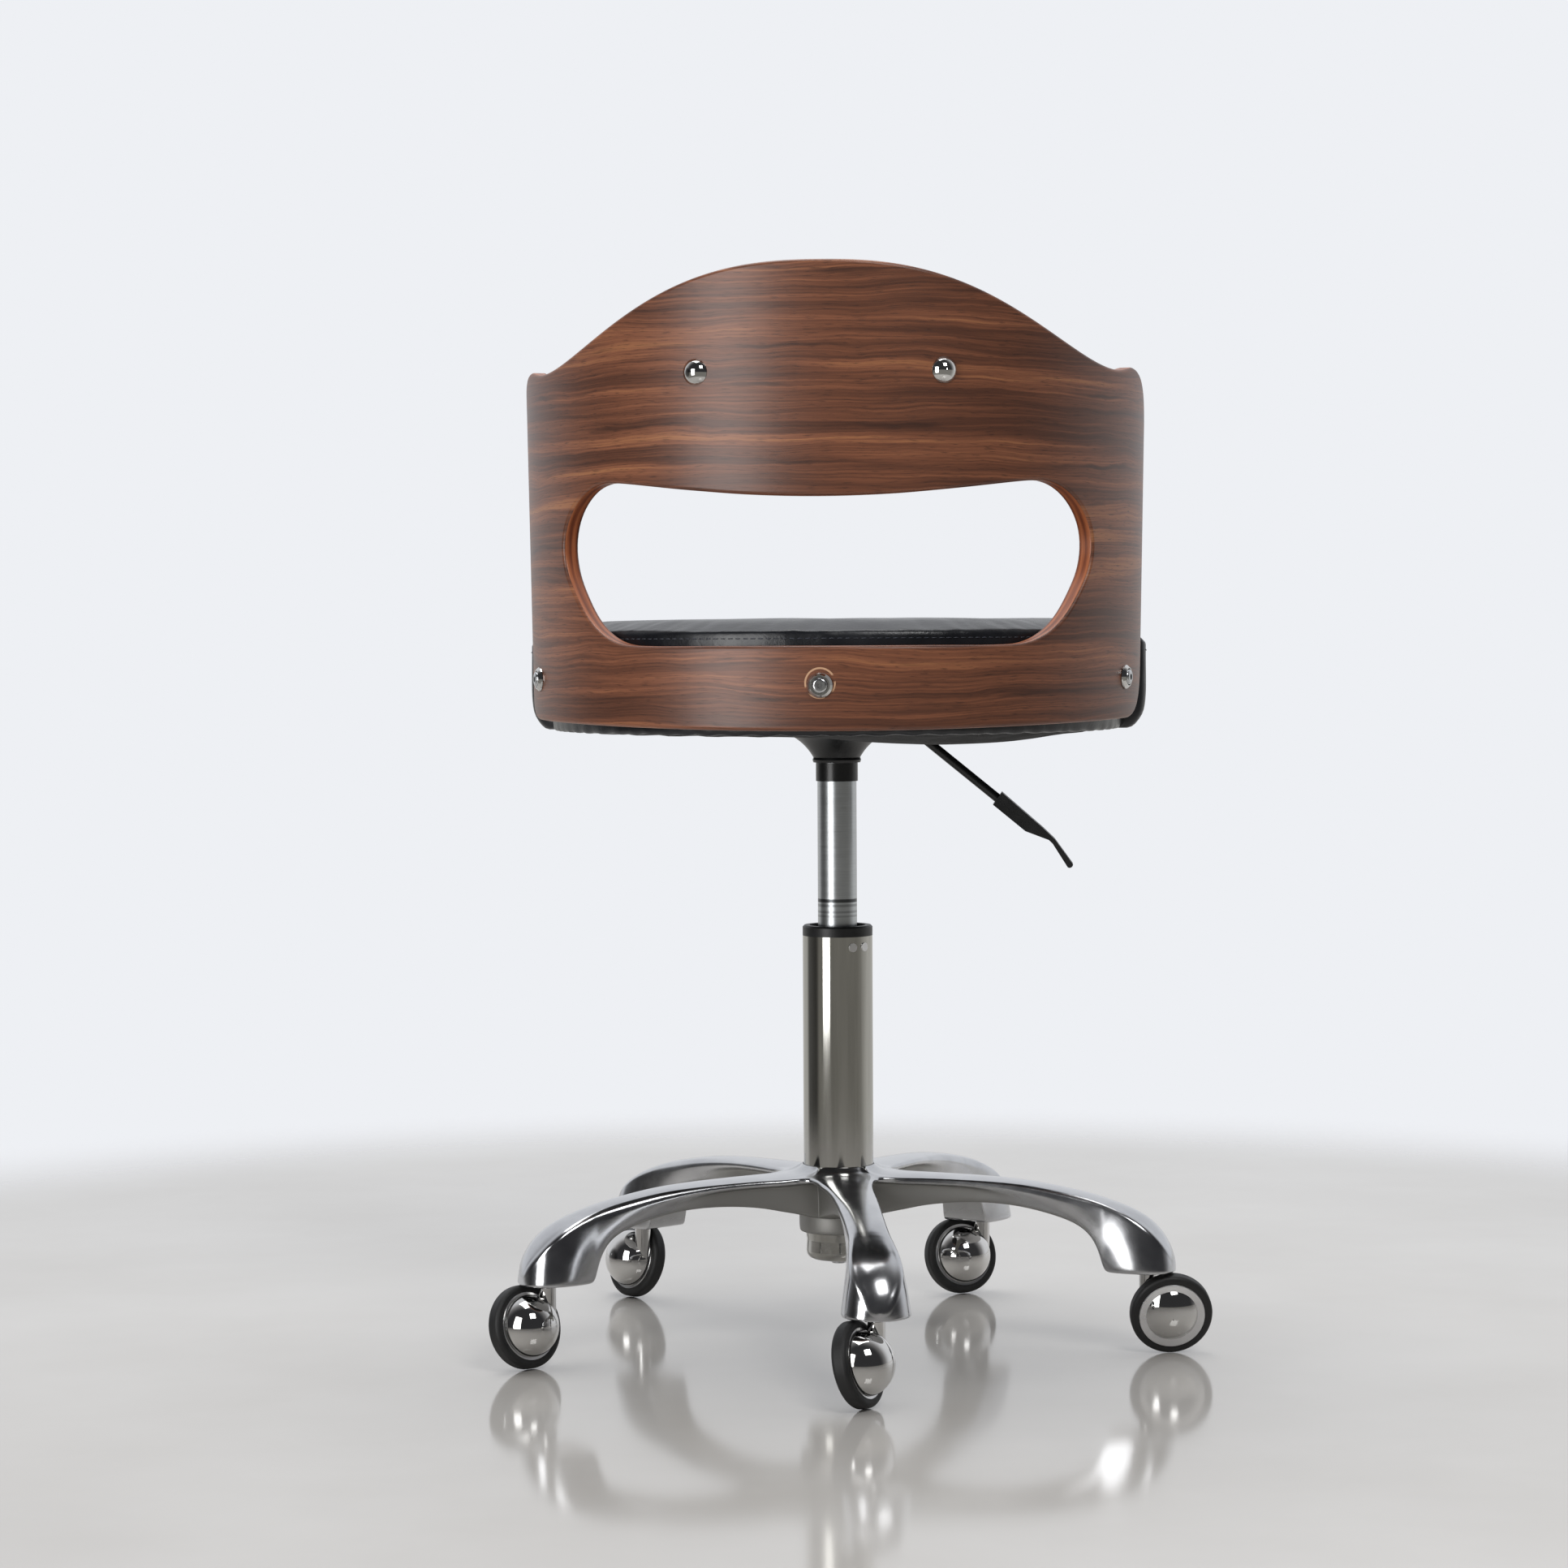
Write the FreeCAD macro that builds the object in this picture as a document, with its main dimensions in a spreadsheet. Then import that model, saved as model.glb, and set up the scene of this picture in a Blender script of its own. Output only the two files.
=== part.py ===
import FreeCAD
import Part
import math
import os
import Sketcher
from FreeCAD import Placement, Rotation, Vector

# Technician stool: a bent-ply bucket seat on a gas column and a five-star base with tilted-wheel casters.
# Millimetres, +Z up, origin on the floor below the column. The seat looks along +Y, its back is at -Y.

SIZES = {
    # Five-star base
    "stem_circle": 222.3,
    "first_arm": -80.8,
    "foot_underside": 58.3,
    "foot_tip": 242.0,
    "foot_half_width": 23.7,
    "arm_half_width": 15.0,
    "hub_bottom": 80.0,
    "hub_top": 124.0,
    "neck_top": 129.6,
    "hub_radius": 38.0,
    "hub_boss_radius": 27.0,
    "socket_radius": 8.0,
    "socket_top": 74.0,
    # Column
    "tube_radius": 25.0,
    "tube_wall": 1.5,
    "tube_top": 292.3,
    "taper_foot_radius": 24.0,
    "column_foot": 60.0,
    "column_foot_radius": 23.4,
    "column_foot_round": 6.0,
    "ring_height": 7.4,
    "ring_bore": 20.0,
    "bush_bottom": 190.0,
    "rivet_radius": 3.1,
    "rivet_height": 285.0,
    # Gas spring
    "spring_radius": 14.0,
    "spring_bore": 11.0,
    "spring_bottom": 185.0,
    "spring_top": 444.0,
    "spring_taper_radius": 13.4,
    "taper_bottom": 416.0,
    "taper_top": 442.0,
    "rod_radius": 5.0,
    "rod_bottom": 56.5,
    "piston_bottom": 222.0,
    "running_gap": 0.06,
    "race_radius": 12.0,
    "race_bottom": 64.0,
    "ball_radius": 1.5,
    "ball_circle": 8.7,
    "button_radius": 4.0,
    "button_top": 449.0,
    # Seat hub and lever
    "collar_radius": 15.0,
    "collar_bottom": 402.7,
    "trumpet_neck": 16.8,
    "trumpet_radius": 46.0,
    "plate_bottom": 440.5,
    "plate_thickness": 2.5,
    "plate_half_side": 85.0,
    "plate_hole": 17.0,
    "plate_screw_offset": 65.0,
    "lever_height": 452.6,
    "lever_pivot": 30.0,
    "lever_bend": 37.9,
    "lever_drop": 39.2,
    "lever_rod_radius": 3.2,
    "lever_rod_end": 128.0,
    "lever_eye_radius": 6.0,
    "lever_pin_radius": 2.5,
    "ear_inside": 7.0,
    "ear_thickness": 2.5,
    "ear_depth": 13.0,
    "lever_slot": 16.0,
    "grip_half_width": 10.0,
    # Seat
    "board_bottom": 443.0,
    "board_thickness": 12.0,
    "board_hole": 40.0,
    "leather": 1.5,
    "seat_bottom_radius": 208.5,
    "seat_seam_radius": 218.5,
    "seat_seam": 498.5,
    "seat_side_bulge": 7.0,
    "seat_edge_bulge": 4.0,
    "seat_shoulder_radius": 190.0,
    "seat_shoulder": 510.5,
    "seat_crown": 517.6,
    "seat_back_radius": 202.6,
    "seat_notch": 1.5,
    "foam_bottom": 456.8,
    "cover_opening": 176.0,
    "dust_rim_radius": 196.0,
    "dust_hole": 52.0,
    "dust_sheet": 0.8,
    "block_height": 32.0,
    "block_depth": 36.0,
    "block_width": 44.0,
    "block_outer": 199.0,
    "side_bolt_bearing": 70.5,
    "side_bolt_height": 477.0,
    "middle_bolt_height": 474.0,
    "bolt_radius": 3.0,
    "bolt_hole": 3.3,
    "bolt_length": 54.0,
    "button_head_radius": 5.4,
    "button_head_height": 3.2,
    "hex_radius": 2.3,
    "washer_radius": 8.5,
    "washer_base": 1.0,
    "washer_height": 2.8,
    "washer_cup": 6.7,
    "tee_radius": 9.5,
    "tee_flange": 1.5,
    "tee_barrel": 4.2,
    "screw_head_radius": 6.5,
    "screw_head_height": 2.4,
    # Back shell
    "shell_thickness": 12.0,
    "shell_foot_radius": 214.8,
    "shell_head_radius": 220.8,
    "shell_foot": 430.0,
    "shell_head": 770.0,
    "shell_low": 443.9,
    "shell_low_rise": 5.0,
    "arm_top": 687.0,
    "arm_front_rise": 4.0,
    "arm_rise_angle": 10.0,
    "crest": 752.0,
    "crest_half_angle": 65.0,
    "crest_power": 1.27,
    "corner_start": 73.0,
    "corner_round": 68.0,
    "window_sill": 500.0,
    "window_head": 598.0,
    "dome_bolt_bearing": 22.0,
    "dome_bolt_height": 680.3,
    "dome_head_radius": 8.7,
    "dome_head_rise": 5.2,
    "dome_bolt_length": 19.4,
    "pad_inner": 178.0,
    "pad_outer": 201.4,
    "pad_board_outer": 205.8,
    "pad_middle": 677.0,
    "pad_up": 64.0,
    "pad_down": 66.0,
    # Casters
    "wheel_tilt": 14.0,
    "wheel_offset": 6.2,
    "wheel_trail": 15.5,
    "wheel_radius": 29.0,
    "tyre_half_width": 5.5,
    "tyre_shoulder": 3.0,
    "rim_radius": 23.4,
    "hood_radius": 22.0,
    "hood_wall": 2.5,
    "hood_face": 6.1,
    "hood_middle": 3.0,
    "boss_radius": 6.0,
    "boss_top": 55.5,
    "stem_radius": 5.5,
    "stem_foot_radius": 3.4,
    "stem_foot": 46.5,
    "stem_top": 72.5,
    "axle_radius": 4.0,
    "axle_head_radius": 6.0,
    "axle_reach": 18.0,
    "core_hub_radius": 8.0,
    "core_inner_face": 5.2,
    "core_outer_face": 4.5,
    "core_web": 1.5,
    "cap_radius": 18.15,
    "cap_rise": 7.2,
}

# Bearing of each caster's hood side, in the order of the arms.
CASTER_BEARINGS = (-22.3, 96.7, -62.3, -136.3, -42.3)
ARM_PITCH = 72.0

doc = FreeCAD.newDocument("technician_stool")
sheet = doc.addObject("Spreadsheet::Sheet", "dims")
for row, (word, size) in enumerate(SIZES.items(), 1):
    sheet.set("A%d" % row, word)
    sheet.set("B%d" % row, str(size))
    sheet.setAlias("B%d" % row, word)
doc.recompute()


def number(size):
    """The number that a sum such as 'tube_radius - tube_wall' comes to."""
    total = 0.0
    sign = 1.0
    for word in str(size).split():
        if word in "+-":
            sign = 1.0 if word == "+" else -1.0
        else:
            total += sign * (sheet.get(word) if word in SIZES else float(word))
    return total


def formula(size):
    """The same sum as an expression on the sheet's cells."""
    return " ".join("dims." + word if word in SIZES else word for word in str(size).split())


def minus(size):
    """A sum with every sign turned."""
    words = str(size).split()
    if words[0] not in "+-":
        words = ["+"] + words
    return " ".join({"+": "-", "-": "+"}.get(word, word) for word in words)


def new_sketch(body, role):
    """A sketch on one of the body's own planes."""
    sketch = body.newObject("Sketcher::SketchObject", body.Name + "_sketch")
    plane = next(f for f in body.Origin.OriginFeatures if f.Role == role)
    sketch.AttachmentSupport = [(plane, "")]
    sketch.MapMode = "FlatFace"
    return sketch


def draw(sketch, points, bulges=None):
    """Close an outline through points. bulges gives an edge's arc height, positive to the left of travel."""
    spots = [Vector(number(x), number(y), 0) for x, y in points]
    ends = []
    for i, start in enumerate(spots):
        finish = spots[(i + 1) % len(spots)]
        height = number((bulges or {}).get(i, 0))
        if height:
            along = (finish - start).normalize()
            middle = (start + finish) * 0.5 + Vector(-along.y, along.x, 0) * height
            edge = Part.Arc(start, middle, finish)
        else:
            edge = Part.LineSegment(start, finish)
        geo = sketch.addGeometry(edge)
        first = 1 if sketch.getPoint(geo, 1).distanceToPoint(start) < 1e-6 else 2
        ends.append((geo, first))
        if height:
            sketch.addConstraint(Sketcher.Constraint("Radius", geo, sketch.Geometry[geo].Radius))
    for i, (geo, first) in enumerate(ends):
        before, before_first = ends[i - 1]
        sketch.addConstraint(Sketcher.Constraint("Coincident", before, 3 - before_first, geo, first))
        for kind, size, axis in (("DistanceX", points[i][0], -2), ("DistanceY", points[i][1], -1)):
            if size == 0:
                sketch.addConstraint(Sketcher.Constraint("PointOnObject", geo, first, axis))
                continue
            rule = sketch.addConstraint(Sketcher.Constraint(kind, -1, 1, geo, first, number(size)))
            sketch.setExpression("Constraints[%d]" % rule, formula(size))


def turned(name, points, bulges=None, angle=360.0):
    """A body turned round the Z axis from a profile of (radius, height) points."""
    body = doc.addObject("PartDesign::Body", name)
    sketch = new_sketch(body, "XZ_Plane")
    draw(sketch, points, bulges)
    turn = body.newObject("PartDesign::Revolution", name + "_turn")
    turn.Profile = sketch
    turn.ReferenceAxis = (sketch, ["V_Axis"])
    turn.Angle = angle
    return body


def padded(name, role, points, bulges, length, midplane=True):
    """A body padded from an outline on one of its planes."""
    body = doc.addObject("PartDesign::Body", name)
    sketch = new_sketch(body, role)
    draw(sketch, points, bulges)
    pad = body.newObject("PartDesign::Pad", name + "_pad")
    pad.Profile = sketch
    pad.setExpression("Length", formula(length))
    pad.Midplane = midplane
    return body


def pocketed(body, role, points, bulges=None):
    """Cut an outline right through a body, both ways from one of its planes."""
    doc.recompute()
    before = body.Shape.Volume
    sketch = new_sketch(body, role)
    draw(sketch, points, bulges)
    pocket = body.newObject("PartDesign::Pocket", body.Name + "_pocket")
    pocket.Profile = sketch
    pocket.Type = "ThroughAll"
    pocket.Midplane = True
    doc.recompute()
    if body.Shape.Volume > before - 1.0:
        raise RuntimeError("pocket cuts nothing in " + body.Name)


def rod(name, radius, length, placement):
    """A plain cylinder from its placement along its own Z axis."""
    cylinder = doc.addObject("Part::Cylinder", name)
    cylinder.setExpression("Radius", formula(radius))
    cylinder.setExpression("Height", formula(length))
    cylinder.Placement = placement
    return cylinder


def block(name, sizes, placement):
    """A box with its corner at its placement."""
    box = doc.addObject("Part::Box", name)
    for side, size in zip(("Length", "Width", "Height"), sizes):
        box.setExpression(side, formula(size))
    box.Placement = placement
    return box


def placed(name, source, placement):
    """A copy of another object that follows its shape."""
    copy = doc.addObject("Part::Compound", name)
    copy.Links = [source]
    copy.Placement = placement
    return copy


def group(name, members):
    """Separate solids kept as one sub-part."""
    whole = doc.addObject("Part::Compound", name)
    whole.Links = members
    return whole


def fused(name, members):
    whole = doc.addObject("Part::MultiFuse", name)
    whole.Shapes = members
    return whole


def cut(name, base, tools):
    """The base less every tool."""
    result = doc.addObject("Part::Cut", name)
    result.Base = base
    result.Tool = tools[0] if len(tools) == 1 else group(name + "_tools", tools)
    return result


def at(x, y, z, rotation=Rotation()):
    return Placement(Vector(number(x), number(y), number(z)), rotation)


def spin(angle):
    return Rotation(Vector(0, 0, 1), angle)


def polar(radius, bearing, height, rotation=None):
    """A place round the column, facing outward unless it has a rotation of its own."""
    angle = math.radians(bearing)
    spot = Vector(math.cos(angle), math.sin(angle), 0) * number(radius) + Vector(0, 0, number(height))
    return Placement(spot, spin(bearing) if rotation is None else rotation)


def outward(radius, bearing, height):
    """A place round the column whose own Z axis points away from it."""
    return polar(radius, bearing, height, spin(bearing) * Rotation(Vector(0, 1, 0), 90))


ARM_BEARINGS = [number("first_arm") + ARM_PITCH * i for i in range(5)]
BACK = -90.0
NODES = []


def node(name, thing):
    """Name a finished sub-part and list it for writing."""
    thing.Label = name
    NODES.append(thing)
    return thing


# Five-star base. Each arm is lofted through sections with a flat crown: distance out, underside, ridge, half width
# at the shoulders, how far the shoulders lie under the ridge, and half width of the underside.
ARM_SECTIONS = (
    (12, 84, "hub_top - 1", "arm_half_width + 11", 2.4, "arm_half_width + 7"),
    (36, 93.5, "hub_top - 0.9", "arm_half_width + 7", 2.2, "arm_half_width + 3"),
    (64, 101.3, "hub_top - 1.1", "arm_half_width + 2", 1.8, "arm_half_width - 2.2"),
    (100, 104.2, "hub_top - 2.1", "arm_half_width", 1.8, "arm_half_width - 3.6"),
    (135, 102, "hub_top - 4.6", "arm_half_width - 0.5", 1.9, "arm_half_width - 3"),
    (160, 96.2, "hub_top - 8.5", "arm_half_width - 0.7", 2.0, "arm_half_width - 2"),
    (178, 89, "hub_top - 12.1", "arm_half_width - 0.5", 2.2, "arm_half_width - 0.2"),
    (188, 76.5, "hub_top - 14.7", "arm_half_width", 2.6, "arm_half_width + 1.6"),
    (194, "foot_underside", "hub_top - 16.5", "arm_half_width + 0.7", 3.0, "foot_half_width - 5.3"),
    (204, "foot_underside", "hub_top - 19.6", "foot_half_width - 6.9", 4.2, "foot_half_width - 2.5"),
    (216, "foot_underside", "hub_top - 24.5", "foot_half_width - 5.6", 6.0, "foot_half_width"),
    (227, "foot_underside", "foot_underside + 33.7", "foot_half_width - 5.8", 7.0, "foot_half_width - 0.7"),
    (234, "foot_underside", "foot_underside + 25.9", "foot_half_width - 8.4", 7.0, "foot_half_width - 4"),
    (239, "foot_underside", "foot_underside + 16.5", "foot_half_width - 12.7", 5.2, "foot_half_width - 9.4"),
    ("foot_tip", "foot_underside", "foot_underside + 5.2", 5, 2.5, 6.2),
)
star = turned("star", [
    (0, "hub_bottom"),
    ("hub_boss_radius", "hub_bottom"),
    ("hub_boss_radius", "hub_bottom + 16"),
    ("hub_radius", "hub_top - 12"),
    ("hub_radius", "hub_top - 5"),
    ("tube_radius + 3.5", "hub_top"),
    ("tube_radius + 0.8", "neck_top"),
    (0, "neck_top"),
], {2: -3.0, 4: -2.0})
sections = []
for station, underside, ridge, half, crown, foot in ARM_SECTIONS:
    section = new_sketch(star, "YZ_Plane")
    section.setExpression("AttachmentOffset.Base.z", formula(station))
    shoulder = "%s - %g" % (ridge, crown)
    draw(section, [
        (foot, underside),
        (half, shoulder),
        (minus(half), shoulder),
        (minus(foot), underside),
    ], {1: -crown})
    sections.append(section)
arm = star.newObject("PartDesign::AdditiveLoft", "arm")
arm.Profile = sections[0]
arm.Sections = sections[1:]
arms = star.newObject("PartDesign::PolarPattern", "arms")
arms.Originals = [arm]
arms.Axis = (next(f for f in star.Origin.OriginFeatures if f.Role == "Z_Axis"), [""])
arms.Occurrences = 5
star.Tip = arms
column_seat = turned("column_seat", [
    (0, "hub_bottom"),
    ("taper_foot_radius", "hub_bottom"),
    ("tube_radius", "hub_top"),
    ("tube_radius", "neck_top"),
    (0, "neck_top"),
])
floor_trim = rod("floor_trim", 300, "foot_underside", Placement())
socket_bores = [
    rod("socket_bore_%d" % i, "socket_radius", 60, polar("stem_circle", bearing, "socket_top - 60"))
    for i, bearing in enumerate(ARM_BEARINGS, 1)
]
star_turned = placed("star_turned", star, polar(0, number("first_arm"), 0))
node("star_base", cut("star_base", star_turned, [column_seat, floor_trim] + socket_bores))

socket = turned("socket", [
    ("stem_radius + running_gap", "foot_underside"),
    ("socket_radius", "foot_underside"),
    ("socket_radius", "socket_top"),
    (0, "socket_top"),
    (0, "stem_top + 0.5"),
    ("stem_radius + running_gap", "stem_top + 0.5"),
])
node("caster_sockets", group("caster_sockets", [
    placed("socket_%d" % i, socket, polar("stem_circle", bearing, 0))
    for i, bearing in enumerate(ARM_BEARINGS, 1)
]))

# Column: a steel tube with a tapered foot, a black top ring and the bush that guides the gas cylinder.
tube = turned("tube", [
    ("rod_radius + 0.3", "column_foot"),
    ("column_foot_radius - column_foot_round", "column_foot"),
    ("column_foot_radius", "column_foot + column_foot_round"),
    ("column_foot_radius - 0.4", "hub_bottom - 6"),
    ("taper_foot_radius", "hub_bottom"),
    ("tube_radius", "hub_top"),
    ("tube_radius", "tube_top"),
    ("tube_radius - tube_wall", "tube_top"),
    ("tube_radius - tube_wall", "hub_top + 2"),
    ("taper_foot_radius - tube_wall", "hub_bottom + 2"),
    ("column_foot_radius - tube_wall", "hub_bottom - 2"),
    ("column_foot_radius - tube_wall", "race_bottom"),
    ("rod_radius + 0.3", "race_bottom"),
], {1: -0.293 * number("column_foot_round")})
RIVET_BEARINGS = (-61.6, -38.3)
rivets = group("rivets", [
    rod("rivet_%d" % i, "rivet_radius", "tube_wall + 0.8",
        outward("tube_radius - tube_wall", bearing, "rivet_height"))
    for i, bearing in enumerate(RIVET_BEARINGS, 1)
])
node("bush_rivets", rivets)
node("column_tube", cut("column_tube", tube, [rivets]))
node("column_ring", turned("column_ring", [
    ("ring_bore", "tube_top"),
    ("tube_radius", "tube_top"),
    ("tube_radius", "tube_top + ring_height - 1.2"),
    ("tube_radius - 1.2", "tube_top + ring_height"),
    ("ring_bore", "tube_top + ring_height"),
]))
node("guide_bush", turned("guide_bush", [
    ("spring_radius + running_gap", "bush_bottom"),
    ("tube_radius - tube_wall", "bush_bottom"),
    ("tube_radius - tube_wall", "tube_top"),
    ("ring_bore", "tube_top"),
    ("ring_bore", "tube_top + 4.5"),
    ("spring_radius + 1", "tube_top + 4.5"),
    ("spring_radius + running_gap", "tube_top + 3"),
]))

# Gas spring: the rod stands on a ball race in the column's foot, and the cylinder slides on its piston.
race = turned("race", [
    ("rod_radius + 0.4", "race_bottom"),
    ("race_radius", "race_bottom"),
    ("race_radius", "race_bottom + 1.5"),
    ("rod_radius + 0.4", "race_bottom + 1.5"),
])
BALL_COUNT = 10
balls = []
for i in range(BALL_COUNT):
    ball = doc.addObject("Part::Sphere", "ball_%d" % i)
    ball.setExpression("Radius", formula("ball_radius"))
    ball.Placement = polar("ball_circle", 360.0 * i / BALL_COUNT, "race_bottom + 1.55 + ball_radius")
    balls.append(ball)
node("thrust_bearing", group("thrust_bearing", [race] + balls))
node("piston_rod", turned("piston_rod", [
    (0, "rod_bottom"),
    ("rod_radius", "rod_bottom"),
    ("rod_radius", "rod_bottom + 1.5"),
    ("rod_radius - 1", "rod_bottom + 1.5"),
    ("rod_radius - 1", "rod_bottom + 3"),
    ("rod_radius", "rod_bottom + 3"),
    ("rod_radius", "race_bottom + 4.6"),
    ("race_radius - 1", "race_bottom + 4.6"),
    ("race_radius - 1", "race_bottom + 7.2"),
    ("rod_radius", "race_bottom + 7.2"),
    ("rod_radius", "piston_bottom"),
    ("spring_bore - running_gap", "piston_bottom"),
    ("spring_bore - running_gap", "piston_bottom + 12"),
    (0, "piston_bottom + 12"),
]))
node("retaining_clip", turned("retaining_clip", [
    ("rod_radius - 0.95", "rod_bottom + 1.6"),
    ("rod_radius + 3.5", "rod_bottom + 1.6"),
    ("rod_radius + 3.5", "rod_bottom + 2.9"),
    ("rod_radius - 0.95", "rod_bottom + 2.9"),
], angle=300))
node("gas_cylinder", turned("gas_cylinder", [
    ("rod_radius + running_gap", "spring_bottom"),
    ("spring_radius - 1", "spring_bottom"),
    ("spring_radius", "spring_bottom + 1.5"),
    ("spring_radius", "taper_bottom"),
    ("spring_taper_radius", "taper_top"),
    ("spring_taper_radius - 0.6", "spring_top"),
    ("button_radius + running_gap", "spring_top"),
    ("button_radius + running_gap", "spring_top - 10"),
    ("spring_bore", "spring_top - 10"),
    ("spring_bore", "spring_bottom + 12"),
    ("rod_radius + running_gap", "spring_bottom + 12"),
]))
node("release_button", turned("release_button", [
    (0, "spring_top - 7"),
    ("button_radius", "spring_top - 7"),
    ("button_radius", "button_top - 1"),
    ("button_radius - 1", "button_top"),
    (0, "button_top"),
]))

# Seat hub: the collar and trumpet that grip the cylinder's taper, below a plate screwed to the seat board.
node("taper_collar", turned("taper_collar", [
    ("spring_radius", "collar_bottom"),
    ("collar_radius", "collar_bottom"),
    ("collar_radius", "taper_bottom - 0.2"),
    ("spring_radius", "taper_bottom - 0.2"),
]))
node("hub_trumpet", turned("hub_trumpet", [
    ("spring_radius", "taper_bottom"),
    ("trumpet_neck", "taper_bottom"),
    ("trumpet_neck + 0.6", "taper_bottom + 1.8"),
    ("trumpet_neck", "taper_bottom + 3.6"),
    ("trumpet_radius", "plate_bottom - 1"),
    ("trumpet_radius", "plate_bottom"),
    ("plate_hole", "plate_bottom"),
    ("plate_hole", "taper_top"),
    ("spring_taper_radius", "taper_top"),
], {3: 4.2}))

plate_blank = padded("plate_blank", "XY_Plane", [
    ("plate_half_side", "plate_half_side - 20"),
    ("plate_half_side - 20", "plate_half_side"),
    ("20 - plate_half_side", "plate_half_side"),
    ("- plate_half_side", "plate_half_side - 20"),
    ("- plate_half_side", "20 - plate_half_side"),
    ("20 - plate_half_side", "- plate_half_side"),
    ("plate_half_side - 20", "- plate_half_side"),
    ("plate_half_side", "20 - plate_half_side"),
], {0: -5.8, 2: -5.8, 4: -5.8, 6: -5.8}, "plate_thickness", midplane=False)
plate_sheet = placed("plate_sheet", plate_blank, at(0, 0, "plate_bottom"))
EAR_SIDES = {"left": "ear_inside", "right": minus("ear_inside + ear_thickness")}
ears = [
    block("ear_" + side, ("ear_depth", "ear_thickness", "lever_height - plate_bottom + 7.5"),
          at(number("lever_pivot") - 0.5 * number("ear_depth"), start, "plate_bottom"))
    for side, start in EAR_SIDES.items()
]
across = Rotation(Vector(1, 0, 0), -90)
pin_length = "ear_inside + ear_inside + ear_thickness + ear_thickness + 2"
pin = rod("pin", "lever_pin_radius", pin_length,
          at("lever_pivot", minus("ear_inside + ear_thickness + 1"), "lever_height", across))
plate_bore = rod("plate_bore", "plate_hole", 20, at(0, 0, "plate_bottom - 5"))
SLOT_SIDE = -0.5 * number("lever_slot")
plate_slot = block("plate_slot", (28, "lever_slot", 10), at(44, SLOT_SIDE, "plate_bottom - 5"))
SCREW_SPOTS = [(x, y) for x in (-1, 1) for y in (-1, 1)]


def at_screws(name, source, height):
    """A copy of one piece at each of the plate's four screws."""
    offset = number("plate_screw_offset")
    return [placed("%s_%d" % (name, i), source, at(x * offset, y * offset, height))
            for i, (x, y) in enumerate(SCREW_SPOTS, 1)]


bolt_bore = rod("bolt_bore", "bolt_hole", 120, Placement())
plate_body = fused("plate_body", [plate_sheet] + ears)
node("seat_plate", cut("seat_plate", plate_body, [plate_bore, plate_slot, pin]
                       + at_screws("plate_drill", bolt_bore, "plate_bottom - 20")))
node("lever_pin", pin)
screw = turned("screw", [
    (0, "- screw_head_height"),
    ("screw_head_radius - 1", "- screw_head_height"),
    ("screw_head_radius", 0),
    ("bolt_radius", 0),
    ("bolt_radius", "plate_thickness + board_thickness"),
    (0, "plate_thickness + board_thickness"),
])
node("plate_screws", group("plate_screws", at_screws("plate_screw", screw, "plate_bottom")))

# Lever: a bent rod that rocks on its pin and presses the button, with a moulded grip on its outer end.
slope = math.radians(number("lever_drop"))
bend_radius = 15.0
tangent = bend_radius * math.tan(slope / 2)
lever_path = doc.addObject("Part::Feature", "lever_path")


def down_slope(x):
    """The point of the sloping stretch at a distance from the column."""
    drop = (x - number("lever_bend")) * math.tan(slope)
    return Vector(x, 0, number("lever_height") - drop)


bend_in = Vector(number("lever_bend") - tangent, 0, number("lever_height"))
bend_out = down_slope(number("lever_bend") + tangent * math.cos(slope))
bend_middle = down_slope(number("lever_bend"))
to_centre = Vector(-math.sin(slope / 2), 0, -math.cos(slope / 2))
bend_middle = bend_middle + to_centre * (bend_radius / math.cos(slope / 2) - bend_radius)
tip = Vector(-4, 0, number("lever_height"))
lever_path.Shape = Part.Wire([
    Part.LineSegment(tip, bend_in).toShape(),
    Part.Arc(bend_in, bend_middle, bend_out).toShape(),
    Part.LineSegment(bend_out, down_slope(number("lever_rod_end"))).toShape(),
])
rod_section = doc.addObject("Part::Circle", "rod_section")
rod_section.setExpression("Radius", formula("lever_rod_radius"))
rod_section.Placement = Placement(tip, Rotation(Vector(0, 1, 0), 90))
bent_rod = doc.addObject("Part::Sweep", "bent_rod")
bent_rod.Sections = [rod_section]
bent_rod.Spine = (lever_path, ["Edge1", "Edge2", "Edge3"])
bent_rod.Solid = True
eye = rod("eye", "lever_eye_radius", "ear_inside + ear_inside - 0.6",
          at("lever_pivot", minus("ear_inside - 0.3"), "lever_height", across))
eye_bore = rod("eye_bore", "lever_pin_radius + running_gap", 40,
               at("lever_pivot", -20, "lever_height", across))
node("lever_rod", cut("lever_rod", fused("lever_blank", [bent_rod, eye]), [eye_bore]))
# Side of the grip, as distance from the column and height: a square sleeve that thins to a bent paddle.
GRIP_OUTLINE = [
    (117.7, 394.5),
    (147.0, 369.0),
    (155.3, 361.0),
    (168.0, 343.4),
    (164.2, 341.2),
    (153.6, 358.0),
    (150.9, 360.6),
    (134.3, 366.9),
    (111.4, 385.7),
]
GRIP_BULGES = {3: 1.4}
grip_blank = padded("grip_blank", "XZ_Plane", GRIP_OUTLINE, GRIP_BULGES, "grip_half_width + grip_half_width")
node("lever_grip", cut("lever_grip", grip_blank, [bent_rod]))

# Seat cushion: a round crowned form, pressed in at the back where the ply shell wraps it.
QUARTER_BULGE = 1.0 - math.cos(math.pi / 4)


def cap_bulge(radius, rise):
    """Arc height of a spherical cap's profile, from its rim to its pole on the axis."""
    reach = number(radius) ** 2 + number(rise) ** 2
    sphere = reach / (2 * number(rise))
    return sphere - math.sqrt(sphere * sphere - reach / 4)


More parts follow.
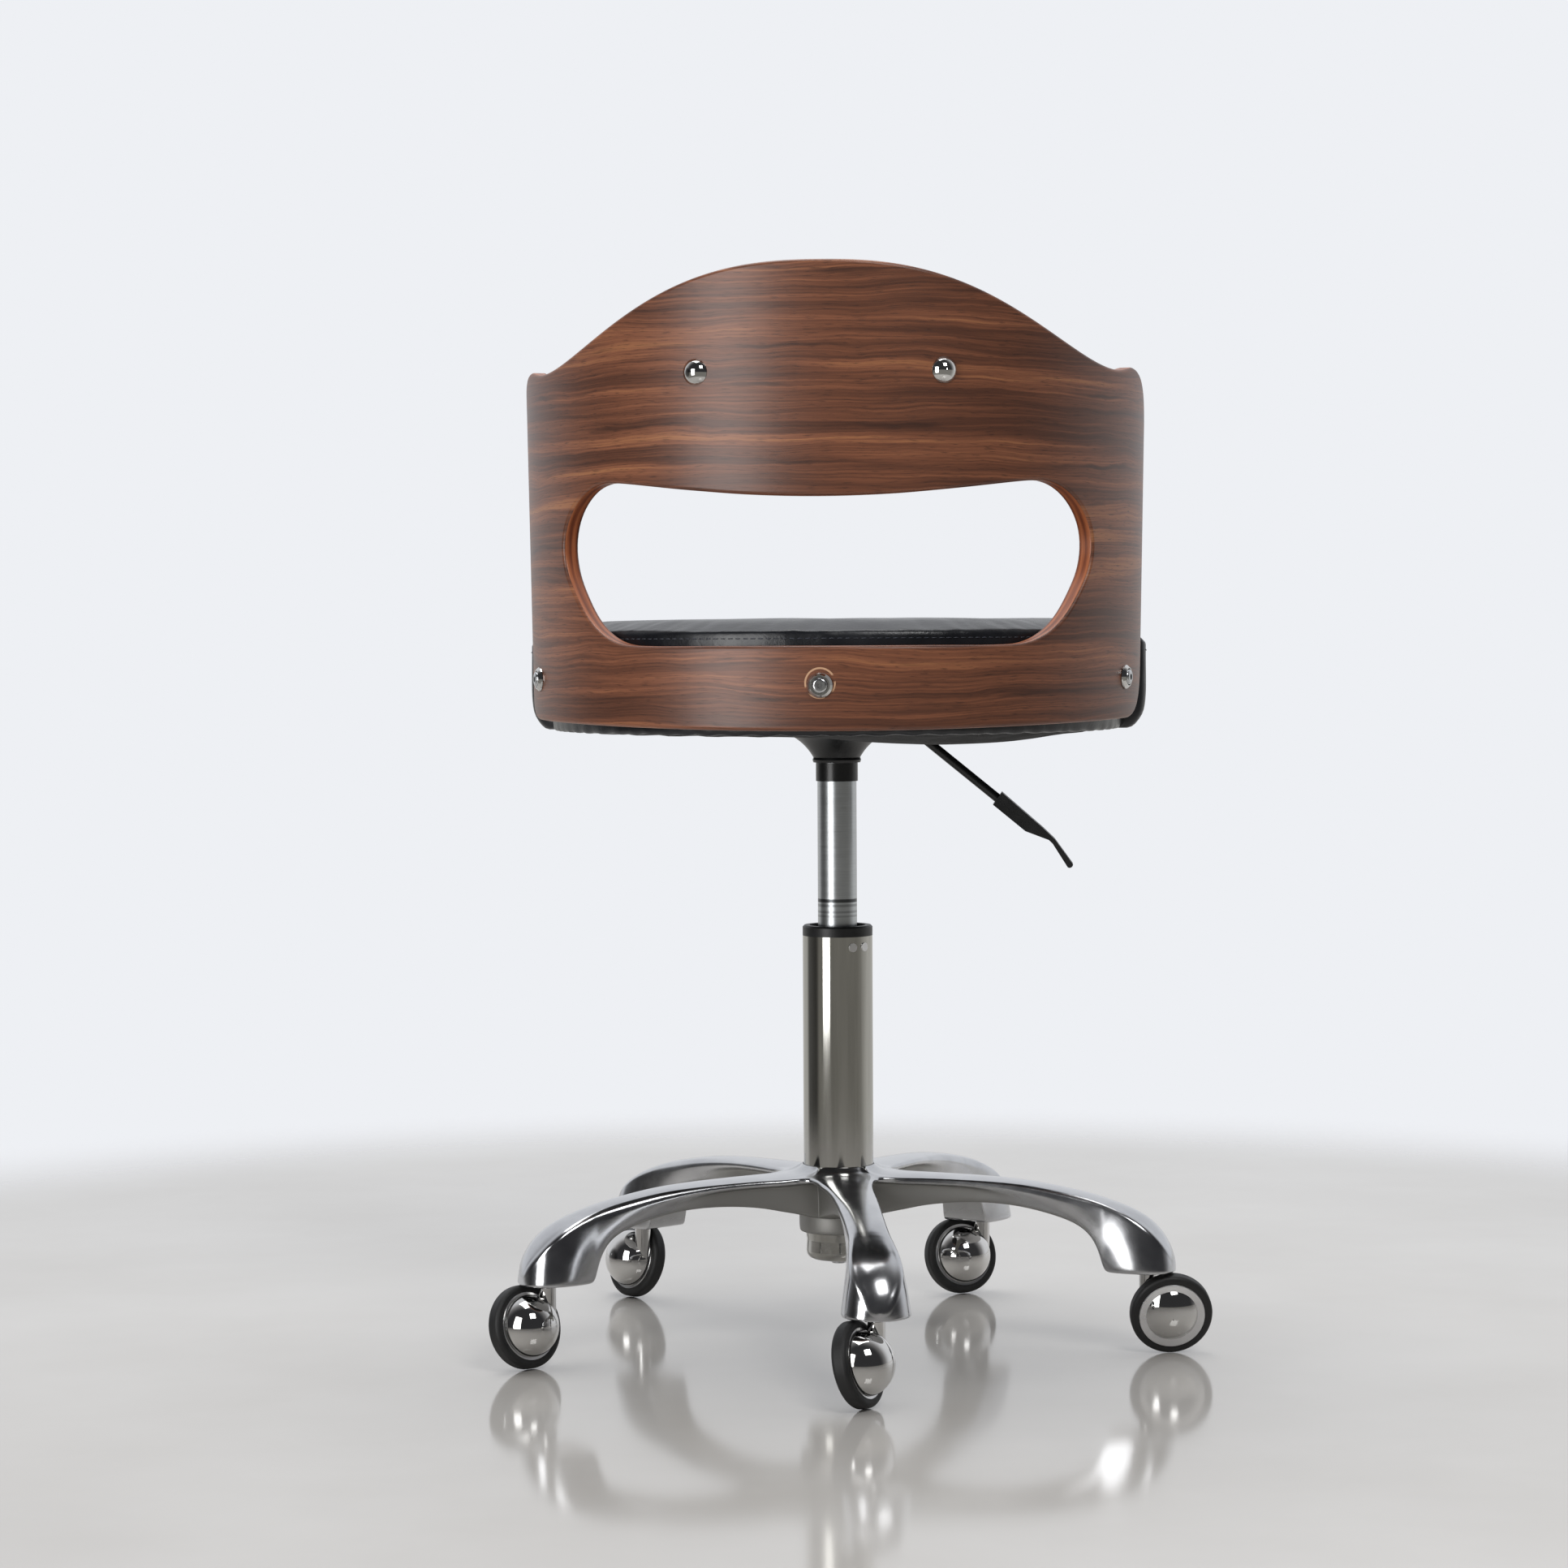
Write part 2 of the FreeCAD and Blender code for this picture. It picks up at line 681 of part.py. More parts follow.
def cushion(name, inset):
    """The cushion's form, shrunk by an inset, with the room that the shell takes cut out of it."""
    form = turned(name, [
        (0, "board_bottom - leather + " + inset),
        ("seat_bottom_radius - " + inset, "board_bottom - leather + " + inset),
        ("seat_seam_radius - " + inset, "seat_seam"),
        ("seat_shoulder_radius", "seat_shoulder - " + inset),
        (0, "seat_crown - " + inset),
    ], {
        1: "- seat_side_bulge",
        2: "- seat_edge_bulge",
        3: -cap_bulge("seat_shoulder_radius", "seat_crown - seat_shoulder"),
    })
    inside = "seat_back_radius - " + inset
    front = "seat_notch + " + inset
    far = 320
    bulge = -QUARTER_BULGE * number(inside)
    pocketed(form, "XY_Plane", [
        (inside, front),
        (far, front),
        (far, -far),
        (-far, -far),
        (-far, front),
        (minus(inside), front),
        (minus(inside), 0),
        (0, minus(inside)),
        (inside, 0),
    ], {6: bulge, 7: bulge})
    return form


outer_form = cushion("outer_form", "0")
inner_form = cushion("inner_form", "leather")
board_top = "board_bottom + board_thickness"
SIDE_BOLTS = (
    (BACK, "middle_bolt_height"),
    (BACK + number("side_bolt_bearing"), "side_bolt_height"),
    (BACK - number("side_bolt_bearing"), "side_bolt_height"),
)
DOME_BOLTS = [(BACK + side * number("dome_bolt_bearing"), "dome_bolt_height") for side in (-1, 1)]


def bored(name, source, start, spots):
    """Copies of a drill that point outward from a radius, one at each bolt."""
    return [placed("%s_%d" % (name, i), source, outward(start, bearing, height))
            for i, (bearing, height) in enumerate(spots, 1)]


cover_mouth = rod("cover_mouth", "cover_opening", 10, at(0, 0, "board_bottom - 10"))
node("seat_cover", cut("seat_cover", outer_form, [inner_form, cover_mouth]
                       + bored("cover_drill", bolt_bore, 150, SIDE_BOLTS)))

barrel_bore = rod("barrel_bore", "bolt_radius + 1", 120, Placement())
board_slab = rod("board_slab", 300, "board_thickness", at(0, 0, "board_bottom"))
board_disc = doc.addObject("Part::Common", "board_disc")
board_disc.Base = inner_form
board_disc.Tool = board_slab
board_middle = rod("board_middle", "board_hole", 60, at(0, 0, "board_bottom - 20"))
board_slot = block("board_slot", (68, "lever_slot", 60), at(0, SLOT_SIDE, "board_bottom - 20"))
node("seat_board", cut("seat_board", board_disc, [board_middle, board_slot]
                       + at_screws("board_drill", barrel_bore, "board_bottom - 50")))


def beside_bolts(name, source, start):
    """Copies of a box that is drawn from a distance outward, one behind each side bolt."""
    return [placed("%s_%d" % (name, i), source, polar(0, bearing, 0).multiply(start))
            for i, (bearing, height) in enumerate(SIDE_BOLTS, 1)]


block_start = at("block_outer - block_depth", -0.5 * number("block_width"), board_top)
side_block = block("side_block", ("block_depth", "block_width", "block_height"), Placement())
blocks = group("blocks", beside_bolts("block", side_block, block_start))
node("side_blocks", cut("side_blocks", blocks, bored("block_drill", barrel_bore, 150, SIDE_BOLTS)))
block_room = block("block_room", ("block_depth + 12", "block_width + 2", "block_height + 6"), Placement())
room_start = at("block_outer - block_depth - 8", -0.5 * number("block_width") - 1, "foam_bottom - 4")
foam_trim = rod("foam_trim", 300, 40, at(0, 0, "foam_bottom - 40"))
lever_room = rod("lever_room", "board_hole + 2", 30, at(0, 0, "foam_bottom - 18"))
node("seat_foam", cut("seat_foam", inner_form, [foam_trim, lever_room]
                      + beside_bolts("foam_room", block_room, room_start)))
dust_sheet = turned("dust_sheet", [
    ("dust_hole", "plate_bottom - 7"),
    (100, "plate_bottom - 6"),
    (150, "plate_bottom - 3.2"),
    ("dust_rim_radius", "board_bottom - leather - dust_sheet"),
    ("dust_rim_radius", "board_bottom - leather"),
    (150, "plate_bottom - 3.2 + dust_sheet"),
    (100, "plate_bottom - 6 + dust_sheet"),
    ("dust_hole", "plate_bottom - 7 + dust_sheet"),
])
dust_slot = block("dust_slot", (50, "lever_slot", 30), at(34, SLOT_SIDE, "plate_bottom - 20"))
node("dust_cover", cut("dust_cover", dust_sheet, [dust_slot]))

# Back shell: a ply band bent half round the seat, slightly wider at its head, with a window, a waved top edge
# and rounded corners.
shell_band = doc.addObject("PartDesign::Body", "shell_band")
band_sketch = new_sketch(shell_band, "XZ_Plane")
draw(band_sketch, [
    ("shell_foot_radius - shell_thickness", "shell_foot"),
    ("shell_foot_radius", "shell_foot"),
    ("shell_head_radius", "shell_head"),
    ("shell_head_radius - shell_thickness", "shell_head"),
])
half_turn = shell_band.newObject("PartDesign::Revolution", "half_turn")
half_turn.Profile = band_sketch
half_turn.ReferenceAxis = (band_sketch, ["V_Axis"])
half_turn.Angle = 180
doc.recompute()
if shell_band.Shape.BoundBox.YMin > -100:
    half_turn.Reversed = True


def corner_cut(angle):
    """How far a rounded corner comes in from a long edge, at an angle from the middle of the back."""
    run = number("shell_head_radius") * math.radians(max(0.0, abs(angle) - number("corner_start")))
    return number("corner_round") - math.sqrt(number("corner_round") ** 2 - run * run)


def top_edge(angle):
    """Height of the shell's top edge at an angle from the middle of the back."""
    share = abs(angle) / number("crest_half_angle")
    if share < 1:
        wave = 0.5 + 0.5 * math.cos(math.pi * share ** number("crest_power"))
        return number("arm_top") + (number("crest") - number("arm_top")) * wave
    share = min(1.0, (abs(angle) - number("crest_half_angle")) / number("arm_rise_angle"))
    return number("arm_top") + number("arm_front_rise") * share * share * (3 - 2 * share) - corner_cut(angle)


def low_edge(angle):
    """Height of the shell's bottom edge at an angle from the middle of the back."""
    rise = number("shell_low_rise") * math.sin(math.radians(angle)) ** 2
    return number("shell_low") + rise + corner_cut(angle)


def unrolled(angle, height):
    return FreeCAD.Base.Vector2d(math.pi + math.radians(angle), height)


def curve(points):
    """A smooth curve through (angle, height) points of the back, laid out flat and then rolled up."""
    reach = number("shell_head_radius")
    flat = FreeCAD.Base.Vector2d
    line = Part.Geom2d.BSplineCurve2d()
    line.interpolate([flat(reach * math.radians(angle), height) for angle, height in points])
    for i, pole in enumerate(line.getPoles(), 1):
        line.setPole(i, flat(math.pi + pole.x / reach, pole.y))
    return line


def straight(start, finish):
    return Part.Geom2d.Line2dSegment(unrolled(*start), unrolled(*finish))


def radial_solid(name, levels):
    """A solid with walls square to the back: each level is a radius and its outline's curves."""
    faces = []
    rims = []
    for radius, outline in levels:
        wall = Part.Cylinder()
        wall.Radius = radius
        rims.append([line.toShape(wall) for line in outline])
        if radius in (levels[0][0], levels[-1][0]):
            cap = Part.Face(wall, Part.Wire(rims[-1]))
            cap.validate()
            faces.append(cap)
    for inner, outer in zip(rims, rims[1:]):
        faces += [Part.makeRuledSurface(near, far) for near, far in zip(inner, outer)]
    skin = Part.makeShell(faces)
    skin.sewShape()
    solid = Part.makeSolid(skin)
    if solid.Volume < 0:
        solid.reverse()
    feature = doc.addObject("Part::Feature", name)
    feature.Shape = solid
    feature.Placement = Placement(Vector(), spin(90))
    return feature


# Angles at which the long edges are found: closer together round the corners, and on past the band's ends.
HALF_EDGE = list(range(6, 67, 6)) + [69.5, 73, 76, 79, 82, 84.5, 86.5, 88.2, 89.5, 90.4]
EDGE_ANGLES = [-angle for angle in reversed(HALF_EDGE)] + [0] + HALF_EDGE
PAST_END = 95


def beyond(edge, limit):
    """The outline between an edge of the back and a height past it."""
    points = [(angle, edge(angle)) for angle in EDGE_ANGLES]
    corner = points[-1][1]
    right, left = [(PAST_END, corner), (PAST_END, limit)], [(-PAST_END, limit), (-PAST_END, corner)]
    stops = [points[-1]] + right + left + [points[0]]
    return [curve(points)] + [straight(*pair) for pair in zip(stops, stops[1:])]


# Half of the window, from the middle of its head round its end to the sill.
WINDOW_END = ((24, 5), (39.5, 11), (44.5, 10.3), (48.7, 4.7), (52.5, -5.2), (55.2, -18), (56.1, -32.5),
              (55, -48), (52, -64), (48.3, -79), (44, -90), (39, -96.5))
half_window = [(angle, number("window_head") + drop) for angle, drop in WINDOW_END]
half_window.append((33, number("window_sill")))
window_points = [(-a, z) for a, z in reversed(half_window)] + [(0, number("window_head"))] + half_window
window = [curve(window_points), straight(window_points[-1], window_points[0])]
inside_shell = number("shell_foot_radius - shell_thickness") - 20
outside_shell = number("shell_head_radius") + 20


def through_shell(name, outline):
    return radial_solid(name, [(inside_shell, outline), (outside_shell, outline)])


node("back_shell", cut("back_shell", shell_band, [
    through_shell("window_cut", window),
    through_shell("top_cut", beyond(top_edge, number("shell_head") + 30)),
    through_shell("low_cut", beyond(low_edge, number("shell_foot") - 30)),
] + bored("shell_drill", bolt_bore, 150, SIDE_BOLTS) + bored("crest_drill", bolt_bore, 150, DOME_BOLTS)))

# Back pad: a thin bent board and a crowned cushion inside the back, held by the dome bolts.
PAD_HALF = ((15, 60), (26, 50), (34, 38), (40, 23), (43.5, 4),
            (44, -17), (42, -36), (37, -50), (29, -57), (15, -63))


def pad_outline(scale):
    """The pad's outline about its middle, at a scale."""
    rim = [(0, number("pad_up"))] + list(PAD_HALF) + [(0, number("- pad_down"))]
    points = [(angle * scale, number("pad_middle") + height * scale) for angle, height in rim]
    return [curve(points), curve([(-a, z) for a, z in reversed(points)])]


pad_inner = number("pad_inner")
pad_outer = number("pad_outer")
pad_form = radial_solid("pad_form", [
    (pad_inner, pad_outline(0.72)),
    (pad_inner + 2.5, pad_outline(0.88)),
    (pad_inner + 8, pad_outline(0.97)),
    (pad_outer - 8, pad_outline(1.0)),
    (pad_outer, pad_outline(0.96)),
])
nut_room = rod("nut_room", 10.5, 20, Placement())
node("back_pad", cut("back_pad", pad_form, bored("pad_room", nut_room, "pad_outer - 6", DOME_BOLTS)))
pad_board = radial_solid("pad_board", [
    (pad_outer + 0.1, pad_outline(0.94)),
    (number("pad_board_outer"), pad_outline(0.94)),
])
node("back_pad_board", cut("back_pad_board", pad_board, bored("pad_drill", barrel_bore, 150, DOME_BOLTS)))


# Fasteners of the seat and back.
def shell_face(height):
    """Outer radius of the shell at a height."""
    share = number(height + " - shell_foot") / number("shell_head - shell_foot")
    return number("shell_foot_radius") + number("shell_head_radius - shell_foot_radius") * share + 0.15


def on_shell(name, source, spots):
    """A copy of a fastener on the shell's outer face at each bolt."""
    return [placed("%s_%d" % (name, i), source, outward(shell_face(height), bearing, height))
            for i, (bearing, height) in enumerate(spots, 1)]


dome_bolt = turned("dome_bolt", [
    (0, "- dome_bolt_length"),
    ("bolt_radius", "- dome_bolt_length"),
    ("bolt_radius", 0),
    ("dome_head_radius", 0),
    (0, "dome_head_rise"),
], {3: -cap_bulge("dome_head_radius", "dome_head_rise")})
node("dome_bolts", group("dome_bolts", on_shell("dome_bolt", dome_bolt, DOME_BOLTS)))
washer = turned("washer", [
    ("bolt_hole", 0),
    ("washer_radius", 0),
    ("washer_radius - 0.2", "washer_base"),
    ("washer_cup", "washer_height"),
    ("washer_cup - 0.7", "washer_height"),
    ("washer_cup - 1", "washer_base"),
    ("bolt_hole", "washer_base"),
])
node("side_washers", group("side_washers", on_shell("side_washer", washer, SIDE_BOLTS)))
bolt_blank = turned("bolt_blank", [
    (0, "- bolt_length"),
    ("bolt_radius", "- bolt_length"),
    ("bolt_radius", "washer_base"),
    ("button_head_radius", "washer_base"),
    ("button_head_radius - 0.2", "washer_base + button_head_height - 1.6"),
    ("button_head_radius - 2.2", "washer_base + button_head_height"),
    (0, "washer_base + button_head_height"),
], {4: -0.5})
hex_socket = doc.addObject("Part::Prism", "hex_socket")
hex_socket.setExpression("Circumradius", formula("hex_radius"))
hex_socket.setExpression("Height", formula("button_head_height"))
hex_socket.Placement = at(0, 0, "washer_base + 1")
side_bolt = cut("side_bolt", bolt_blank, [hex_socket])
node("side_bolts", group("side_bolts", on_shell("side_bolt_at", side_bolt, SIDE_BOLTS)))
tee_nut = turned("tee_nut", [
    ("bolt_radius + 0.05", "- tee_flange"),
    ("tee_radius", "- tee_flange"),
    ("tee_radius", 0),
    ("bolt_radius + 1", 0),
    ("bolt_radius + 1", "tee_barrel"),
    ("bolt_radius + 0.05", "tee_barrel"),
])
nuts = bored("block_nut", tee_nut, "block_outer - block_depth", SIDE_BOLTS)
nuts += bored("pad_nut", tee_nut, "pad_outer - 0.15", DOME_BOLTS)
tee_down = placed("tee_down", tee_nut, Placement(Vector(), Rotation(Vector(1, 0, 0), 180)))
nuts += at_screws("board_nut", tee_down, board_top)
node("tee_nuts", group("tee_nuts", nuts))

# Casters: a tilted wheel beside a domed hood, drawn about the wheel's axle and then leaned over.
tilt = math.radians(number("wheel_tilt"))
tread = number("wheel_radius - tyre_shoulder") * math.cos(tilt)
tread += number("tyre_half_width - tyre_shoulder") * math.sin(tilt) + number("tyre_shoulder")
lean = at(minus("wheel_offset"), minus("wheel_trail"), tread,
          Rotation(Vector(0, 1, 0), 90 - number("wheel_tilt")))
SHOULDER_BULGE = -QUARTER_BULGE * number("tyre_shoulder")
tyre = turned("tyre", [
    ("rim_radius", "- tyre_half_width"),
    ("wheel_radius - tyre_shoulder", "- tyre_half_width"),
    ("wheel_radius", "tyre_shoulder - tyre_half_width"),
    ("wheel_radius", "tyre_half_width - tyre_shoulder"),
    ("wheel_radius - tyre_shoulder", "tyre_half_width"),
    ("rim_radius", "tyre_half_width"),
], {1: SHOULDER_BULGE, 3: SHOULDER_BULGE})
core = turned("core", [
    ("axle_radius + running_gap", "- core_outer_face"),
    ("axle_radius + running_gap", "core_inner_face"),
    ("core_hub_radius", "core_inner_face"),
    ("core_hub_radius", "core_web"),
    ("rim_radius - 3.4", "core_web"),
    ("rim_radius - 2.4", "tyre_half_width - 0.1"),
    ("rim_radius", "tyre_half_width - 0.1"),
    ("rim_radius", "- tyre_half_width - 0.1"),
    ("rim_radius - 0.4", "- tyre_half_width - 0.7"),
    ("cap_radius + 0.05", "0.3 - tyre_half_width"),
    ("cap_radius + 0.05", "- core_web"),
    ("core_hub_radius", "- core_web"),
    ("core_hub_radius", "- core_outer_face"),
])
cap = turned("cap", [
    (0, "0.2 - tyre_half_width - cap_rise"),
    ("cap_radius", "0.2 - tyre_half_width"),
    ("cap_radius", "1.7 - tyre_half_width"),
    ("cap_radius - 1.5", "1.7 - tyre_half_width"),
    ("cap_radius - 1.5", "1.2 - tyre_half_width"),
    (0, "1.2 - tyre_half_width - cap_rise + 0.5"),
], {0: -cap_bulge("cap_radius", "cap_rise"), 4: cap_bulge("cap_radius - 1.5", "cap_rise - 0.5")})
axle = turned("axle", [
    (0, "- core_outer_face - 2"),
    ("axle_head_radius", "- core_outer_face - 2"),
    ("axle_head_radius", "- core_outer_face - 0.1"),
    ("axle_radius", "- core_outer_face - 0.1"),
    ("axle_radius", "axle_reach"),
    (0, "axle_reach"),
])
stem = turned("stem", [
    (0, "stem_foot"),
    ("stem_foot_radius", "stem_foot"),
    ("stem_foot_radius", "boss_top"),
    ("stem_radius - 0.9", "boss_top"),
    ("stem_radius - 0.9", "foot_underside + 0.6"),
    ("stem_radius", "foot_underside + 1.5"),
    ("stem_radius", "stem_top"),
    (0, "stem_top"),
])


def sphere_width(radius, level):
    """Radius of the hood's sphere, or its hollow, at a level along the axle."""
    return math.sqrt(number(radius) ** 2 - number(level + " - hood_middle") ** 2)


def arc_height(radius, start, finish):
    """Height of a sphere's arc between two profile points."""
    reach = math.hypot(finish[0] - start[0], finish[1] - start[1])
    return number(radius) - math.sqrt(number(radius) ** 2 - reach * reach / 4)


POST_RADIUS = 7.0
rim = (sphere_width("hood_radius", "hood_face"), number("hood_face"))
pole = (0.0, number("hood_middle + hood_radius"))
dome = turned("dome", [(0, "hood_face"), rim, (0, "hood_middle + hood_radius")],
              {1: -arc_height("hood_radius", rim, pole)})
hollow_radius = "hood_radius - hood_wall"
hollow_rim = (sphere_width(hollow_radius, "hood_face"), number("hood_face"))
post_level = number("hood_middle") + math.sqrt(number(hollow_radius) ** 2 - POST_RADIUS ** 2)
hollow = turned("hollow", [(POST_RADIUS, "hood_face"), hollow_rim, (POST_RADIUS, post_level)],
                {1: -arc_height(hollow_radius, hollow_rim, (POST_RADIUS, post_level))})
boss = rod("boss", "boss_radius", "boss_top - 31", at(0, 0, 31))
wheel_room = rod("wheel_room", "wheel_radius + 3", "hood_face + 30", at(0, 0, -30))
axle_bore = rod("axle_bore", "axle_radius", 36, at(0, 0, -18))
hood_body = fused("hood_body", [placed("dome_leaned", dome, lean), boss])
hood_tools = [placed(tool.Name + "_leaned", tool, lean) for tool in (hollow, wheel_room, axle_bore)]
hood = cut("hood", hood_body, hood_tools + [stem])
CASTER_PIECES = {"caster_stem": stem, "caster_hood": hood}
for name, piece in (("caster_axle", axle), ("wheel_core", core), ("tyre", tyre), ("hub_cap", cap)):
    CASTER_PIECES[name] = placed(name + "_leaned", piece, lean)
for i, (arm_bearing, hood_bearing) in enumerate(zip(ARM_BEARINGS, CASTER_BEARINGS), 1):
    for name, piece in CASTER_PIECES.items():
        label = "%s_%d" % (name, i)
        node(label, placed(label, piece, polar("stem_circle", arm_bearing, 0, spin(hood_bearing))))

# Write every sub-part once the whole document is sound.
doc.recompute()
for thing in doc.Objects:
    if set(thing.State) & {"Invalid", "Error"}:
        raise RuntimeError("%s failed: %s" % (thing.Name, thing.State))
os.makedirs("parts", exist_ok=True)
for thing in NODES:
    if thing.Shape.isNull() or not thing.Shape.isValid():
        raise RuntimeError(thing.Label + " has no valid shape")
for thing in NODES:
    thing.Shape.exportStep("parts/%s.step" % thing.Label)
    print(thing.Label, len(thing.Shape.Solids), "solids,", round(thing.Shape.Volume / 1000.0, 1), "cm3")
print(len(NODES), "sub-parts")
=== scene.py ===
# %% [markdown]
# # A technician stool, dressed in Blender
# The stool was drawn as solids in CAD: a bent walnut back, a round leather seat, a gas column and a
# five-star base on ball casters. Those solids load here as a fixed frame, in metres, with the seat's back
# towards -Y. Each cell below either gives a solid its real finish or puts a better-shaped piece in its
# place.

import math

import bmesh
import bpy
import numpy as np
from mathutils import Matrix, Vector, noise
from mathutils.geometry import delaunay_2d_cdt


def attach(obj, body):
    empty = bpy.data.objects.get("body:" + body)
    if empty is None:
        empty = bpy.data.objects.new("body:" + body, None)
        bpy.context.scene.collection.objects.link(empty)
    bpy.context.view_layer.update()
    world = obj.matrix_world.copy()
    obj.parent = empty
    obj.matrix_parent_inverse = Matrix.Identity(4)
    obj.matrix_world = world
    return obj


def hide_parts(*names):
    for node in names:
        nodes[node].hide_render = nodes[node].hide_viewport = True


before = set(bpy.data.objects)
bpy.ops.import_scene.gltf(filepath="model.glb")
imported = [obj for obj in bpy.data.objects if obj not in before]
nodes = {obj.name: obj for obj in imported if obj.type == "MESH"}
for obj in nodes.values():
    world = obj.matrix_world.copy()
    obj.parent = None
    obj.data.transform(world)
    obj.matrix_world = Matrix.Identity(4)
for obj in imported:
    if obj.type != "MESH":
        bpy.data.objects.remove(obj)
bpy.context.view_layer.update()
scene = bpy.context.scene
MM = 0.001

# %% [markdown]
# ## The camera
# The photograph was taken from behind the stool, level with the seat, with a long lens. The place
# and the lens were worked out from the tube's straight sides, the window and where the five wheels touch
# the floor.

# %% Camera
EYE = Vector((132.3, -2631.8, 508.7)) * MM
YAW, PITCH, ROLL = math.radians(3.7), math.radians(2.35), -0.005

forward = Vector((-math.sin(YAW) * math.cos(PITCH), math.cos(YAW) * math.cos(PITCH), -math.sin(PITCH)))
level = Vector((math.cos(YAW), math.sin(YAW), 0))
upright = level.cross(forward)
across = level * math.cos(ROLL) + upright * math.sin(ROLL)
above = upright * math.cos(ROLL) - level * math.sin(ROLL)
camera_data = bpy.data.cameras.new("camera")
camera_data.lens = 84.72
camera_data.sensor_width = 36
camera = bpy.data.objects.new("camera", camera_data)
scene.collection.objects.link(camera)
stand = Matrix((across, above, -forward)).transposed().to_4x4()
stand.translation = EYE
camera.matrix_world = stand
scene.camera = camera
scene.view_settings.view_transform = "Standard"
print("camera", [round(value, 3) for value in EYE], "lens", camera_data.lens)

# %% [markdown]
# ## Colours and nodes
# Colours are written as sRGB hex values, as a colour picker gives them, and one function turns them to the
# linear values that Blender mixes. One more function adds a shader node with its settings and links.

# %% Helpers for materials


def linear(colour):
    """An sRGB hex colour as the linear values that the renderer mixes."""
    parts = [int(colour[place:place + 2], 16) / 255 for place in (1, 3, 5)]
    return tuple(c / 12.92 if c <= 0.04045 else ((c + 0.055) / 1.055) ** 2.4 for c in parts) + (1.0,)


def add(tree, kind, inputs=None, stops=None, **settings):
    """One shader node. Inputs go by socket name or number, and are values or other nodes' outputs."""
    node = tree.nodes.new("ShaderNode" + kind)
    for word, value in settings.items():
        setattr(node, word, value)
    for socket, value in (inputs or {}).items():
        if isinstance(value, bpy.types.NodeSocket):
            tree.links.new(value, node.inputs[socket])
        else:
            node.inputs[socket].default_value = value
    if stops:
        elements = node.color_ramp.elements
        while len(elements) < len(stops):
            elements.new(1.0)
        for element, (place, colour) in zip(elements, stops):
            element.position = place
            element.color = linear(colour)
    return node


def finish_named(name, values):
    """A new material: its node tree, and its shader with the values that hold all over it."""
    material = bpy.data.materials.new(name)
    material.use_nodes = True
    shader = material.node_tree.nodes["Principled BSDF"]
    for socket, value in values.items():
        shader.inputs[socket].default_value = value
    return material, material.node_tree, shader


def per_metre(millimetres):
    """The texture scale whose pattern repeats once in so many millimetres."""
    return 1 / (millimetres * MM)


def waves_per_metre(millimetres):
    """The same for a wave texture, whose scale counts radians."""
    return per_metre(millimetres) / 6.283


def blend(tree, share, first, second):
    """A colour between two others, by a share."""
    return add(tree, "Mix", {0: share, 6: first, 7: second}, data_type="RGBA").outputs[2]


def toned(tree, shader, share, colours, places, rough, span=(0.25, 0.75)):
    """Gives a shader two tones and a range of roughness, both led by the same noise."""
    tone = add(tree, "ValToRGB", {0: share}, stops=list(zip(places, colours)))
    tree.links.new(tone.outputs[0], shader.inputs["Base Color"])
    sheen = add(tree, "MapRange", {"Value": share, "From Min": span[0], "From Max": span[1],
                                   "To Min": rough[0], "To Max": rough[1]})
    tree.links.new(sheen.outputs[0], shader.inputs["Roughness"])
    return tone


# %% [markdown]
# ## Floor, light and background
# A pale polished floor carries the shadow and a faint mirror image, as in the photograph. It fades out
# about a metre away, so that the plain pale background shows behind it and no wall stands in the way of the
# other views. The room on the camera's side is darker than the background: that is what gives chrome its
# dark bands.

# %% Stage
PALE = "#eef0f4"

floor_mesh = bpy.data.meshes.new("floor")
floor_mesh.from_pydata([(-4, -4, 0), (4, -4, 0), (4, 4, 0), (-4, 4, 0)], [], [(0, 1, 2, 3)])
floor = bpy.data.objects.new("floor", floor_mesh)
floor.location.z = -0.0002
scene.collection.objects.link(floor)

tile, tree, shader = finish_named("porcelain floor, polished", {"IOR": 1.5})
place = add(tree, "TexCoord").outputs["Object"]
reach = add(tree, "VectorMath", {0: place}, operation="LENGTH").outputs["Value"]
fade = add(tree, "MapRange", {"Value": reach, "From Min": 0.9, "From Max": 1.35},
           interpolation_type="SMOOTHERSTEP")
clouds = add(tree, "TexNoise", {"Vector": place, "Scale": per_metre(260), "Detail": 4.0})
shade = add(tree, "ValToRGB", {0: clouds.outputs[0]}, stops=[(0.3, "#cdc9c3"), (0.7, "#d8d5d0")])
tree.links.new(shade.outputs[0], shader.inputs["Base Color"])
gloss = add(tree, "MapRange", {"Value": clouds.outputs[0], "To Min": 0.06, "To Max": 0.14})
tree.links.new(gloss.outputs[0], shader.inputs["Roughness"])
clear = add(tree, "BsdfTransparent")
mixed = add(tree, "MixShader", {0: fade.outputs[0], 1: shader.outputs[0], 2: clear.outputs[0]})
tree.links.new(mixed.outputs[0], tree.nodes["Material Output"].inputs["Surface"])
floor_mesh.materials.append(tile)

